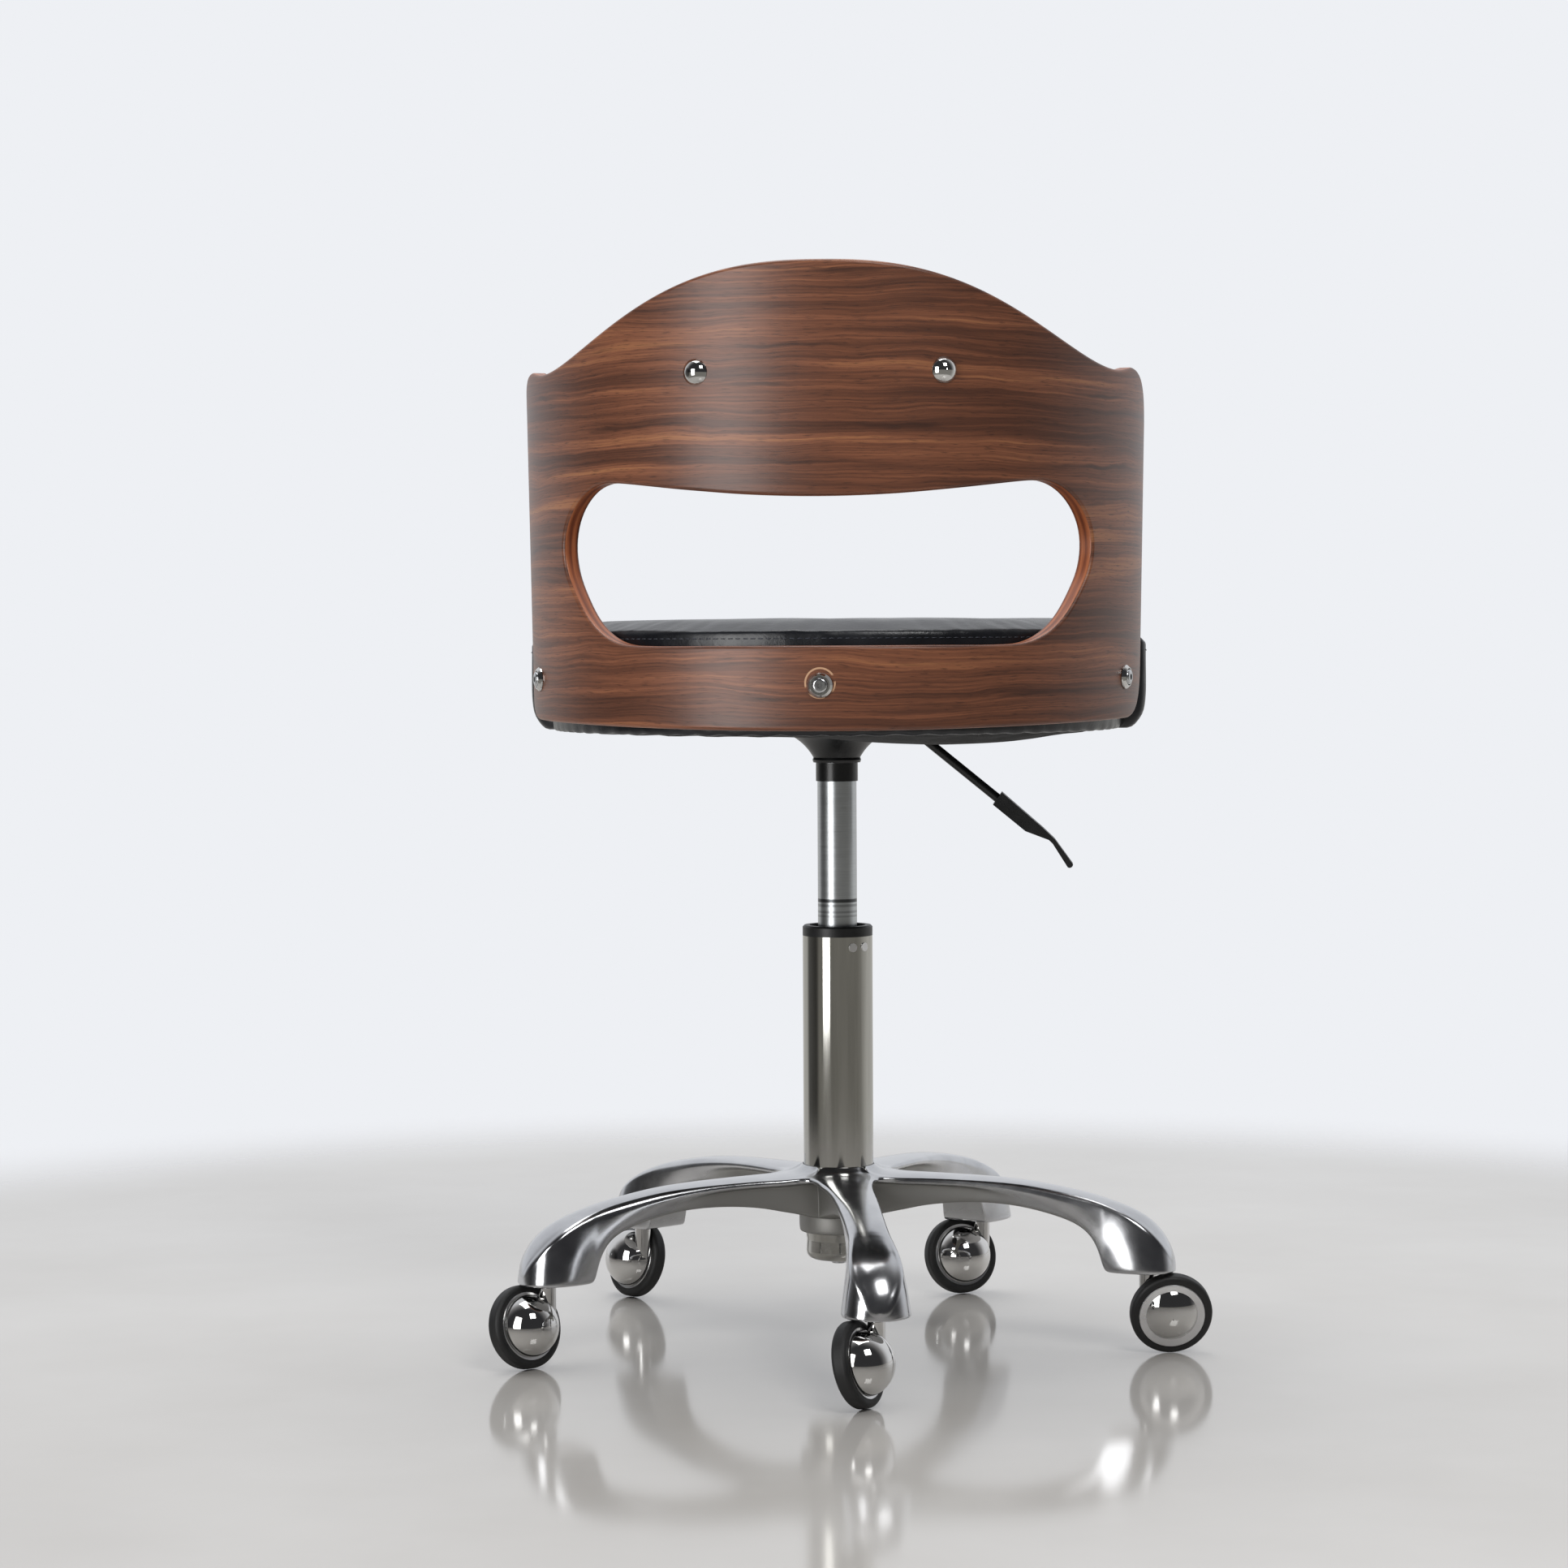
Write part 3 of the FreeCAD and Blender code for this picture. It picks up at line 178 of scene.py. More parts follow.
world = bpy.data.worlds.new("pale studio")
world.use_nodes = True
scene.world = world
tree = world.node_tree
heading = add(tree, "SeparateXYZ", {0: add(tree, "TexCoord").outputs["Generated"]})
depth = add(tree, "MapRange", {"Value": heading.outputs["Y"], "From Min": -0.35, "From Max": 0.5},
            interpolation_type="SMOOTHSTEP")
room = add(tree, "ValToRGB", {0: depth.outputs[0]}, stops=[(0.0, "#6f6e70"), (1.0, "#e6e8ec")])
mirrored = add(tree, "ValToRGB", {0: depth.outputs[0]}, stops=[
    (0.0, "#38383a"), (0.45, "#8c8b8c"), (1.0, "#e6e8ec")]).outputs[0]
distant_floor = add(tree, "ValToRGB", {0: depth.outputs[0]}, stops=[(0.0, "#86847f"), (1.0, "#cfcecb")])
horizon = add(tree, "MapRange", {"Value": heading.outputs["Z"], "From Min": -0.03, "From Max": 0.03})
mirrored = blend(tree, horizon.outputs[0], distant_floor.outputs[0], mirrored)
# A black flag to the left puts the dark band beside the bright one on the column.
flag = add(tree, "MapRange", {"Value": heading.outputs["X"], "From Min": -0.87, "From Max": -0.95,
                              "To Max": 0.8})
mirrored = blend(tree, flag.outputs[0], mirrored, linear("#141415"))
rays = add(tree, "LightPath")
seen = add(tree, "Math", {0: rays.outputs["Is Camera Ray"], 1: rays.outputs["Is Transmission Ray"]},
           operation="MAXIMUM")
sky = blend(tree, rays.outputs["Is Glossy Ray"], room.outputs[0], mirrored)
sky = blend(tree, seen.outputs[0], sky, linear(PALE))
tree.links.new(sky, tree.nodes["Background"].inputs["Color"])

# Softboxes: place and aim in metres, width and height in metres, watts.
SOFTBOXES = {
    "tall_key": ((-1.0, -1.43, 0.66), (0, 0, 0.5), 0.75, 1.25, 16),
    "high_fill": ((1.0, -1.9, 2.3), (0, 0, 0.5), 1.0, 1.0, 24),
    "overhead": ((-0.2, 0.3, 2.7), (0, 0, 0.3), 1.6, 1.6, 28),
}
for name, (spot, aim, width, height, watts) in SOFTBOXES.items():
    lamp = bpy.data.lights.new(name, "AREA")
    lamp.shape = "RECTANGLE"
    lamp.size, lamp.size_y, lamp.energy = width, height, watts
    box = bpy.data.objects.new(name, lamp)
    box.location = spot
    box.rotation_euler = (Vector(aim) - Vector(spot)).to_track_quat("-Z", "Y").to_euler()
    scene.collection.objects.link(box)
    if name == "tall_key":
        # Seen from the front, this box would lie on the polished floor as a white sheet.
        unlit = bpy.data.collections.new("out of the tall key")
        unlit.objects.link(floor)
        box.light_linking.receiver_collection = unlit
        unlit.collection_objects[0].light_linking.link_state = "EXCLUDE"
print("softboxes", len(SOFTBOXES))

# %% [markdown]
# ## Walnut veneer
# The back is bent plywood with a sliced walnut face, its grain running round the back. The face is drawn on
# a flat pattern (along the bend, up the height), so that streaks follow the bend as a real leaf does. Long
# noise gives the broad streaks, a wandering sine gives the ring lines, and short dashes give the pores. A
# satin lacquer covers it.

# %% Walnut veneer, sliced and lacquered
walnut, tree, shader = finish_named("walnut veneer, sliced and lacquered", {
    "IOR": 1.45, "Specular IOR Level": 0.62})
leaf = add(tree, "UVMap", uv_map="leaf").outputs[0]


def grain(tree, vector, along_mm, across_mm, **inputs):
    """Noise stretched along the grain: its length and its width in millimetres."""
    stretched = add(tree, "Mapping", {0: vector, 3: (per_metre(along_mm), per_metre(across_mm), 1.0)})
    return add(tree, "TexNoise", {"Vector": stretched.outputs[0], "Scale": 1.0, **inputs}).outputs[0]


drift = grain(tree, leaf, 170, 60, Detail=2.0)
ripple = grain(tree, leaf, 42, 16, Detail=2.0)
sway = add(tree, "Math", {0: drift, 1: 0.016, 2: 0.0}, operation="MULTIPLY_ADD")
sway = add(tree, "Math", {0: ripple, 1: 0.0035, 2: sway.outputs[0]}, operation="MULTIPLY_ADD")
shift = add(tree, "CombineXYZ", {"Y": sway.outputs[0]})
wandering = add(tree, "VectorMath", {0: leaf, 1: shift.outputs[0]}, operation="ADD").outputs[0]
streaks = grain(tree, wandering, 380, 13, Detail=3.0, Roughness=0.55)
threads = grain(tree, wandering, 150, 1.6, Detail=3.0, Roughness=0.6)
figure = add(tree, "Mix", {0: 0.38, 2: streaks, 3: threads})
tone = add(tree, "ValToRGB", {0: figure.outputs[0]}, stops=[
    (0.34, "#472a1e"), (0.44, "#5a3626"), (0.51, "#6f432e"), (0.57, "#835138"), (0.66, "#a06a45")])
rings = add(tree, "TexWave", {"Vector": wandering, "Scale": waves_per_metre(13), "Distortion": 1.6,
                              "Detail": 2.0, "Detail Scale": 1.5}, bands_direction="Y", wave_profile="SIN")
line = add(tree, "MapRange", {"Value": rings.outputs[1], "From Min": 0.95, "From Max": 1.0, "To Max": 0.75})
breaks = grain(tree, leaf, 90, 14, Detail=3.0)
broken = add(tree, "MapRange", {"Value": breaks, "From Min": 0.5, "From Max": 0.66})
lines = add(tree, "Math", {0: line.outputs[0], 1: broken.outputs[0]}, operation="MULTIPLY")
lined = blend(tree, lines.outputs[0], tone.outputs[0], linear("#341f17"))
# Real pores are 0.2 mm wide; they are drawn 0.8 mm wide so that they show.
dashes = grain(tree, wandering, 11, 0.8, Detail=2.0)
pores = add(tree, "MapRange", {"Value": dashes, "From Min": 0.57, "From Max": 0.7, "To Max": 0.6})
porous = blend(tree, pores.outputs[0], lined, linear("#331e16"))
# Bare wood shows in a thin broken ring round the middle bolt, where its washer has been turned.
BOLT_HEIGHT, SCUFF_RADIUS, SCUFF_HALF = 475.5, 9.8, 0.6
bolt_spot = add(tree, "VectorMath", {0: leaf, 1: (0, BOLT_HEIGHT * MM, 0)}, operation="DISTANCE")
scuff = add(tree, "Math", {0: bolt_spot.outputs["Value"], 1: SCUFF_RADIUS * MM, 2: SCUFF_HALF * MM},
            operation="COMPARE")
patchy = add(tree, "MapRange", {"Value": grain(tree, leaf, 14, 14), "From Min": 0.5, "From Max": 0.56})
scuffed = add(tree, "Math", {0: scuff.outputs[0], 1: patchy.outputs[0]}, operation="MULTIPLY")
bare = blend(tree, scuffed.outputs[0], porous, linear("#c79e7c"))
tree.links.new(bare, shader.inputs["Base Color"])
satin = add(tree, "MapRange", {"Value": streaks, "To Min": 0.33, "To Max": 0.42})
tree.links.new(satin.outputs[0], shader.inputs["Roughness"])
relief = add(tree, "Bump", {"Height": pores.outputs[0], "Strength": 0.15, "Distance": 0.0003}, invert=True)
tree.links.new(relief.outputs[0], shader.inputs["Normal"])

# %% [markdown]
# ## Plywood edge
# Where the bent board is cut, its layers show as thin lines. The maker stained that edge red-brown and
# lacquered it.

# %% Plywood edge, stained
ply_edge, tree, shader = finish_named("plywood edge, stained", {"IOR": 1.5, "Roughness": 0.38})
leaf = add(tree, "UVMap", uv_map="leaf").outputs[0]
layers = add(tree, "TexWave", {"Vector": leaf, "Scale": waves_per_metre(2.6), "Distortion": 0.4,
                               "Detail": 1.0}, bands_direction="Y")
blotch = grain(tree, leaf, 40, 2, Detail=3.0)
mix = add(tree, "Math", {0: layers.outputs[1], 1: 0.45, 2: blotch}, operation="MULTIPLY_ADD")
tone = add(tree, "ValToRGB", {0: mix.outputs[0]}, stops=[
    (0.3, "#5a2c1b"), (0.65, "#87492c"), (0.95, "#a8623c")])
tree.links.new(tone.outputs[0], shader.inputs["Base Color"])
print("wood finishes", walnut.name, "and", ply_edge.name)

# %% [markdown]
# ## Metals
# The base is cast aluminium, ground and buffed on its outside: bright, but with the soft waviness that
# buffing leaves, and matt where the buff could not reach. The column is chromed drawn tube, the gas
# spring's cylinder is ground steel, and the casters are bright chrome. A metal's colour is its reflection,
# so each has full metallic.

# %% Aluminium, chrome and steel


def metal(name, colours, rough, wave_mm, wave, stretch=(1, 1, 1)):
    """A bare or plated metal: two close tones, a range of roughness, and the waviness of its surface."""
    material, tree, shader = finish_named(name, {"Metallic": 1.0})
    place = add(tree, "TexCoord").outputs["Object"]
    spread = add(tree, "Mapping", {0: place, 3: stretch}).outputs[0]
    haze = add(tree, "TexNoise", {"Vector": spread, "Scale": per_metre(wave_mm), "Detail": 4.0,
                                  "Roughness": 0.6})
    tone = toned(tree, shader, haze.outputs[0], colours, (0.3, 0.7), rough)
    bump = add(tree, "Bump", {"Height": haze.outputs[0], "Strength": wave, "Distance": 0.001})
    tree.links.new(bump.outputs[0], shader.inputs["Normal"])
    return material, tree, shader, tone


buffed, tree, shader, tone = metal(
    "aluminium, cast and buffed", ("#b9babd", "#cfd0d2"), (0.13, 0.24), 34, 0.05)
# Where the buff did not reach, the casting is greyer and matt. Along the undersides out to the heels the
# greyer tone is also painted shade, for the seat's shade there. The mesh carries that share, point by point.
unbuffed_and_shaded = add(tree, "Attribute", attribute_name="as_cast_and_shade").outputs["Fac"]
greyer_and_shaded = blend(tree, unbuffed_and_shaded, tone.outputs[0], linear("#9a9996"))
tree.links.new(greyer_and_shaded, shader.inputs["Base Color"])
matter = add(tree, "Mix", {0: unbuffed_and_shaded, 2: shader.inputs["Roughness"].links[0].from_socket, 3: 0.5})
tree.links.new(matter.outputs[0], shader.inputs["Roughness"])
tube_chrome, *_ = metal(
    "steel tube, drawn and chromed", ("#adaca7", "#c0bfba"), (0.06, 0.12), 9, 0.012, (1, 1, 0.05))
bright_chrome, *_ = metal("steel, pressed and chromed", ("#c9c8c6", "#dbdad8"), (0.03, 0.07), 60, 0.0)
zinc, *_ = metal("steel, turned and zinc plated", ("#b4b6b8", "#d0d1d2"), (0.16, 0.28), 4, 0.03)
rim_silver, *_ = metal("wheel rim, vacuum plated", ("#dededf", "#ededee"), (0.26, 0.34), 20, 0.0)
ground, tree, shader, tone = metal(
    "steel cylinder, ground", ("#b9bdc0", "#c9cdcf"), (0.27, 0.34), 4.0, 0.005, (0.2, 0.2, 5))

# The piston seal left dark rings low on the ground cylinder: height, half width, how dark.
height = add(tree, "SeparateXYZ", {0: add(tree, "TexCoord").outputs["Object"]}).outputs["Z"]
stain = tone.outputs[0]
for ring, half, strength in ((317.5, 1.2, 0.85), (314.0, 0.9, 0.4), (309.5, 0.8, 0.35), (306.5, 0.8, 0.3)):
    near = add(tree, "Math", {0: height, 1: ring * MM, 2: half * MM}, operation="COMPARE")
    dark = add(tree, "Math", {0: near.outputs[0], 1: strength}, operation="MULTIPLY")
    stain = blend(tree, dark.outputs[0], stain, linear("#2c2d2f"))
tree.links.new(stain, shader.inputs["Base Color"])
print("metals", [m.name for m in (buffed, tube_chrome, bright_chrome, zinc, rim_silver, ground)])

# %% [markdown]
# ## Black parts, boards and cloth
# The hub, its collar and the lever are powder coated, with the faint orange peel of baked paint. The ring
# and grip are moulded plastic with a spark-eroded texture. Tyres are rubber that picks up floor dust. The
# leather is a smooth coated hide with a fine pebble and a soft sheen.

# %% Paint, plastic, rubber, board, leather and cloth


def dull(name, colours, rough, grain_mm, bump_strength, stretch=(1, 1, 1)):
    """A non-metal with two tones, a range of roughness and a raised grain of a given size."""
    material, tree, shader = finish_named(name, {"IOR": 1.5})
    place = add(tree, "TexCoord").outputs["Object"]
    spread = add(tree, "Mapping", {0: place, 3: stretch}).outputs[0]
    broad = add(tree, "TexNoise", {"Vector": spread, "Scale": per_metre(grain_mm * 14), "Detail": 5.0})
    toned(tree, shader, broad.outputs[0], colours, (0.3, 0.72), rough)
    fine = add(tree, "TexNoise", {"Vector": spread, "Scale": per_metre(grain_mm)})
    bump = add(tree, "Bump", {"Height": fine.outputs[0], "Strength": bump_strength, "Distance": 0.0005})
    tree.links.new(bump.outputs[0], shader.inputs["Normal"])
    return material


powder = dull("steel, black powder coat", ("#0d0e0f", "#161718"), (0.26, 0.34), 1.6, 0.1)
moulded = dull("nylon plastic, moulded black", ("#0c0d0e", "#151618"), (0.36, 0.46), 0.8, 0.15)
rubber = dull("rubber tyre, moulded", ("#0d0d0e", "#1b1b1b"), (0.45, 0.65), 1.2, 0.12)
socket_nylon = dull("nylon, moulded grey", ("#3a3b3d", "#4a4b4d"), (0.45, 0.55), 1.0, 0.1)
birch = dull("birch plywood, sawn", ("#b58f63", "#d2b184"), (0.55, 0.7), 1.5, 0.2, stretch=(0.15, 1, 4))
foam = dull("foam, cut", ("#cfc6a8", "#ded6bc"), (0.8, 0.9), 1.2, 0.4)
thread = dull("polyester thread, waxed", ("#2a2e37", "#3d424d"), (0.28, 0.38), 0.4, 0.2)
nonwoven = dull("polypropylene cloth, bonded", ("#0b0b0c", "#131314"), (0.75, 0.9), 0.9, 0.35)

# The leather has two grains: creases some 7 mm apart where it bends, and the pebble of the coating. The
# pebble is 0.6 mm on the hide; it is drawn at 1.0 mm so that it shows.
leather, tree, shader = finish_named("leather, coated black", {"IOR": 1.5, "Specular IOR Level": 0.55})
place = add(tree, "TexCoord").outputs["Object"]
wear = add(tree, "TexNoise", {"Vector": place, "Scale": per_metre(35), "Detail": 4.0})
toned(tree, shader, wear.outputs[0], ("#090b10", "#11141b"), (0.3, 0.7), (0.26, 0.38), (0.3, 0.7))
creases = add(tree, "TexNoise", {"Vector": place, "Scale": per_metre(7), "Detail": 3.0, "Distortion": 0.6})
pebble = add(tree, "TexVoronoi", {"Vector": place, "Scale": per_metre(1.0)})
coarse = add(tree, "Bump", {"Height": creases.outputs[0], "Strength": 0.2, "Distance": 0.0012})
fine = add(tree, "Bump", {"Height": pebble.outputs[0], "Strength": 0.12, "Distance": 0.0003,
                          "Normal": coarse.outputs[0]})
tree.links.new(fine.outputs[0], shader.inputs["Normal"])
print("black parts", [m.name for m in (powder, moulded, rubber, leather, thread, nonwoven)])

# %% [markdown]
# ## Solids that keep their shape
# Turned and pressed parts are already right in CAD, so they only get their finish. Each name here is the
# start of the node's name, so that the five casters are dressed together. The pad's board is wrapped in the
# pad's leather.

# %% Dress the solids
FINISHES = {
    "star_base": buffed, "caster_sockets": socket_nylon, "column_tube": tube_chrome, "column_ring": moulded,
    "guide_bush": socket_nylon, "bush_rivets": rim_silver, "gas_cylinder": ground, "thrust_bearing": zinc,
    "piston_rod": zinc, "retaining_clip": zinc, "release_button": zinc, "taper_collar": powder,
    "hub_trumpet": powder, "seat_plate": powder, "plate_screws": zinc, "lever_pin": zinc,
    "lever_rod": powder, "lever_grip": moulded, "seat_cover": leather, "seat_foam": foam,
    "seat_board": birch, "side_blocks": birch, "tee_nuts": zinc, "dust_cover": nonwoven,
    "back_shell": walnut, "back_pad": leather, "back_pad_board": leather, "dome_bolts": bright_chrome,
    "side_bolts": zinc, "side_washers": bright_chrome, "caster_stem": zinc, "caster_axle": zinc,
    "caster_hood": bright_chrome, "wheel_core": rim_silver, "tyre": rubber, "hub_cap": bright_chrome,
}
for name, node in nodes.items():
    start = max((word for word in FINISHES if name.startswith(word)), key=len)
    node.data.materials.clear()
    node.data.materials.append(FINISHES[start])
print("dressed", len(nodes), "solids")

# %% [markdown]
# ## Making pieces
# New pieces are written in millimetres as points and faces, as the CAD is, and turned to metres once.

# %% Helper for pieces


def piece(name, points, faces, body, materials, replaced=()):
    """A smooth mesh from points in millimetres, riding on its body in place of the solids it stands for."""
    mesh = bpy.data.meshes.new(name)
    corners = [[int(i) for i in face] for face in faces]
    mesh.from_pydata((np.asarray(points, float) * MM).tolist(), [], corners)
    for material in materials:
        mesh.materials.append(material)
    mesh.shade_smooth()
    made = bpy.data.objects.new(name, mesh)
    scene.collection.objects.link(made)
    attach(made, body)
    if replaced:
        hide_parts(*replaced)
    return made


def smoothed(made, levels):
    """Rounds a mesh off by subdivision."""
    rounding = made.modifiers.new("smooth", "SUBSURF")
    rounding.levels = rounding.render_levels = levels


def ring_faces(rings, count):
    """The faces between closed rings that follow one another, each of so many points."""
    return [(ring * count + i, ring * count + (i + 1) % count,
             (ring + 1) * count + (i + 1) % count, (ring + 1) * count + i)
            for ring in range(rings - 1) for i in range(count)]


def eased(share):
    """Zero to one with level ends."""
    share = np.clip(share, 0, 1)
    return share * share * (3 - 2 * share)


# %% [markdown]
# ## The bent back
# On the real stool, veneers are glued over a curved mould and the blank is routed to shape, with its edges
# rounded by a 2.5 mm cutter. Here the same board is cut out flat: an outline and a window on an unrolled
# sheet, rounded edge rings round both, and then the sheet is bent round the seat. Cutting a solid cylinder
# would give facets on the edges and no flat pattern for the veneer.

# %% The board's outline, unrolled
SHELL_LOW, SHELL_SPAN, SHELL_FLARE, SHELL_THICK = 430.0, 340.0, 6.0, 12.0
SHELL_RADIUS = 214.8
BEND = 217.0
QUARTER = BEND * math.pi / 2
CORNER_TOP, CORNER_LOW, CORNER_ROUND, EDGE_ROUND = 690.4, 448.45, 66.0, 2.5
LOW_MIDDLE, LOW_RISE = 443.9, 5.0
# The crest falls to the shoulders over so many degrees; past them each arm rises a little again.
SHOULDER_HEIGHT, CREST_RISE, CREST_END, CREST_POWER = 687.0, 65.0, 65.0, 1.27
ARM_RISE, ARM_RISE_ANGLE = 4.0, 10.0


def arc(centre, radius, start, end, count):
    """Points on an arc, angles in degrees."""
    angles = np.radians(np.linspace(start, end, count))
    return np.column_stack([centre[0] + radius * np.cos(angles), centre[1] + radius * np.sin(angles)])


def both_halves(right):
    """A closed outline from its right half."""
    return np.vstack([right, right[::-1][1:-1] * (-1, 1)])


def run_lengths(line):
    """How far along a line each of its points lies."""
    return np.concatenate([[0], np.cumsum(np.linalg.norm(np.diff(line, axis=0), axis=1))])


def resampled(points, step):
    """A closed line's points again, about one step apart."""
    loop = np.vstack([points, points[:1]])
    length = run_lengths(loop)
    places = np.linspace(0, length[-1], int(round(length[-1] / step)), endpoint=False)
    return np.column_stack([np.interp(places, length, loop[:, k]) for k in (0, 1)])


def smooth_loop(points, steps=8):
    """A smooth closed line through the points."""
    before, here, after, beyond = (np.roll(points, shift, axis=0) for shift in (1, 0, -1, -2))
    t = np.linspace(0, 1, steps, endpoint=False)[:, None, None]
    line = 0.5 * (2 * here + (after - before) * t + (2 * before - 5 * here + 4 * after - beyond) * t ** 2
                  + (3 * here - before - 3 * after + beyond) * t ** 3)
    return line.transpose(1, 0, 2).reshape(-1, 2)


corner = QUARTER - CORNER_ROUND
degrees = np.linspace(0, math.degrees(corner / BEND), 50)
along = np.radians(degrees) * BEND
low_edge = np.column_stack([along, LOW_MIDDLE + LOW_RISE * np.sin(np.radians(degrees)) ** 2])
fall = np.clip(degrees / CREST_END, 0, 1) ** CREST_POWER
crest = SHOULDER_HEIGHT + CREST_RISE * 0.5 * (1 + np.cos(np.pi * fall))
crest = crest + ARM_RISE * eased((degrees - CREST_END) / ARM_RISE_ANGLE)
top_edge = np.column_stack([along, crest])[::-1]
right_half = np.vstack([
    low_edge,
    arc((corner, CORNER_LOW + CORNER_ROUND), CORNER_ROUND, -90, 0, 24),
    arc((corner, CORNER_TOP - CORNER_ROUND), CORNER_ROUND, 0, 90, 24),
    top_edge,
])
outline = resampled(both_halves(right_half), 4.0)

# Right half of the window: degrees round the back, and height above the middle of its head.
WINDOW = np.array([
    (0, 0), (12, 1.3), (24, 5), (39.5, 11), (44.5, 10.3), (48.7, 4.7), (52.5, -5.2), (55.2, -18),
    (56.1, -32.5), (55, -48), (52, -64), (48.3, -79), (44, -90), (39, -96.5), (33, -98), (22, -98),
    (11, -98), (0, -98)])
half = np.column_stack([np.radians(WINDOW[:, 0]) * BEND, 598.0 + WINDOW[:, 1]])
window = resampled(smooth_loop(both_halves(half)), 4.0)
print("outline points", len(outline), "window points", len(window))

# %% Bend the board


def bent(flat, depth):
    """Flat pattern points (along, height) at a depth under the outer face, bent round the seat."""
    radius = SHELL_RADIUS + SHELL_FLARE * (flat[:, 1] - SHELL_LOW) / SHELL_SPAN - depth
    angle = flat[:, 0] / BEND
    return np.column_stack([radius * np.sin(angle), -radius * np.cos(angle), flat[:, 1]])


def bent_normals(flat, face, edge, edge_normal):
    """Normals there: a share of the outer face's, and a share of the cut edge's."""
    angle = flat[:, 0] / BEND
    outward = np.column_stack([np.sin(angle), -np.cos(angle), np.full(len(flat), -SHELL_FLARE / SHELL_SPAN)])
    onward = np.column_stack([np.cos(angle), np.sin(angle), np.zeros(len(flat))])
    cut = onward * edge_normal[:, :1] + np.array((0, 0, 1)) * edge_normal[:, 1:]
    total = outward * face + cut * edge
    return total / np.linalg.norm(total, axis=1)[:, None]


def inside(points, loop):
    """Which points lie inside a closed line."""
    x, y = points[:, :1], points[:, 1:]
    x0, y0 = loop[:, 0], loop[:, 1]
    x1, y1 = np.roll(x0, -1), np.roll(y0, -1)
    with np.errstate(divide="ignore", invalid="ignore"):
        crossing = ((y0 > y) != (y1 > y)) & (x < (x1 - x0) * (y - y0) / (y1 - y0) + x0)
    return crossing.sum(axis=1) % 2 == 1


def edge_normals(loop):
    """The flat pattern's normals along a cut, pointing out of the board."""
    run = np.roll(loop, -1, axis=0) - np.roll(loop, 1, axis=0)
    normal = np.column_stack([run[:, 1], -run[:, 0]])
    return normal / np.linalg.norm(normal, axis=1)[:, None]


quarter_turn = np.radians(np.linspace(0, 90, 5))
RINGS = [(a, EDGE_ROUND * (1 - math.cos(a)), 1) for a in quarter_turn]
RINGS += [(a, SHELL_THICK - EDGE_ROUND * (1 - math.cos(a)), -1) for a in quarter_turn[::-1]]
points, normals, faces, face_finish, pattern = [], [], [], [], []
inner_loops = []
for loop in (outline, window):
    normal = edge_normals(loop)
    count = len(loop)
    travel = run_lengths(loop)
    first = sum(map(len, points))
    for a, depth, side in RINGS:
        flat = loop - normal * EDGE_ROUND * (1 - math.sin(a))
        points.append(bent(flat, depth))
        normals.append(bent_normals(flat, side * math.cos(a), math.sin(a), normal))
        on_edge = np.column_stack([travel, np.full(count, depth)])
        pattern.append(np.hstack([flat, on_edge]))
    inner_loops.append((first, loop - normal * EDGE_ROUND))
    for ring in range(len(RINGS) - 1):
        for i in range(count):
            j = (i + 1) % count
            here, there = first + ring * count, first + (ring + 1) * count
            faces.append((there + i, there + j, here + j, here + i))
            face_finish.append(1 if 3 <= ring <= 5 else 0)

(outer_first, outer_loop), (window_first, window_loop) = inner_loops
spacing = 7.0
grid = np.stack(np.meshgrid(np.arange(-QUARTER, QUARTER, spacing), np.arange(440, 760, spacing)), -1)
grid = grid.reshape(-1, 2)
grid = grid[inside(grid, outer_loop) & ~inside(grid, window_loop)]
rims = np.vstack([outer_loop, window_loop])
room = np.array([np.min(np.sum((rims - spot) ** 2, axis=1)) for spot in grid])
grid = grid[room > 4.2 ** 2]
flat = np.vstack([rims, grid])
outer_count, window_count = len(outer_loop), len(window_loop)
ring_edges = [(i, (i + 1) % outer_count) for i in range(outer_count)]
ring_edges += [(outer_count + i, outer_count + (i + 1) % window_count) for i in range(window_count)]
found = delaunay_2d_cdt([Vector(spot) for spot in flat], ring_edges, [], 0, 1e-6)
source = [origin[0] for origin in found[3]]
triangles = np.array([[source[i] for i in face] for face in found[2]])
middle = flat[triangles].mean(axis=1)
triangles = triangles[inside(middle, outer_loop) & ~inside(middle, window_loop)]

none = np.zeros((len(grid), 2))
total = sum(map(len, points))
rim_count = len(RINGS) - 1
spans = ((outer_first, outer_count), (window_first, window_count), (total, len(grid)))
front_of = np.concatenate([start + np.arange(size) for start, size in spans])
back_of = np.concatenate([
    start + down * size + np.arange(size) for (start, size), down in zip(spans, (rim_count, rim_count, 1))])
for depth, side in ((0.0, 1), (SHELL_THICK, -1)):
    points.append(bent(grid, depth))
    normals.append(bent_normals(grid, side, 0, none))
    pattern.append(np.hstack([grid, none]))
faces += [tuple(front_of[t]) for t in triangles] + [tuple(back_of[t][::-1]) for t in triangles]
face_finish += [0] * (2 * len(triangles))
points, normals, pattern = np.vstack(points), np.vstack(normals), np.vstack(pattern) * MM

back = piece("bent_back", points, faces, "seat", [walnut, ply_edge], ["back_shell"])
back.data.polygons.foreach_set("material_index", face_finish)
leaf_map = back.data.uv_layers.new(name="leaf")
for polygon, kind in zip(back.data.polygons, face_finish):
    for corner in polygon.loop_indices:
        spot = pattern[back.data.loops[corner].vertex_index]
        leaf_map.data[corner].uv = spot[2:] if kind else spot[:2]
back.data.normals_split_custom_set_from_vertices(normals.tolist())
print("bent back: points", len(points), "faces", len(faces))

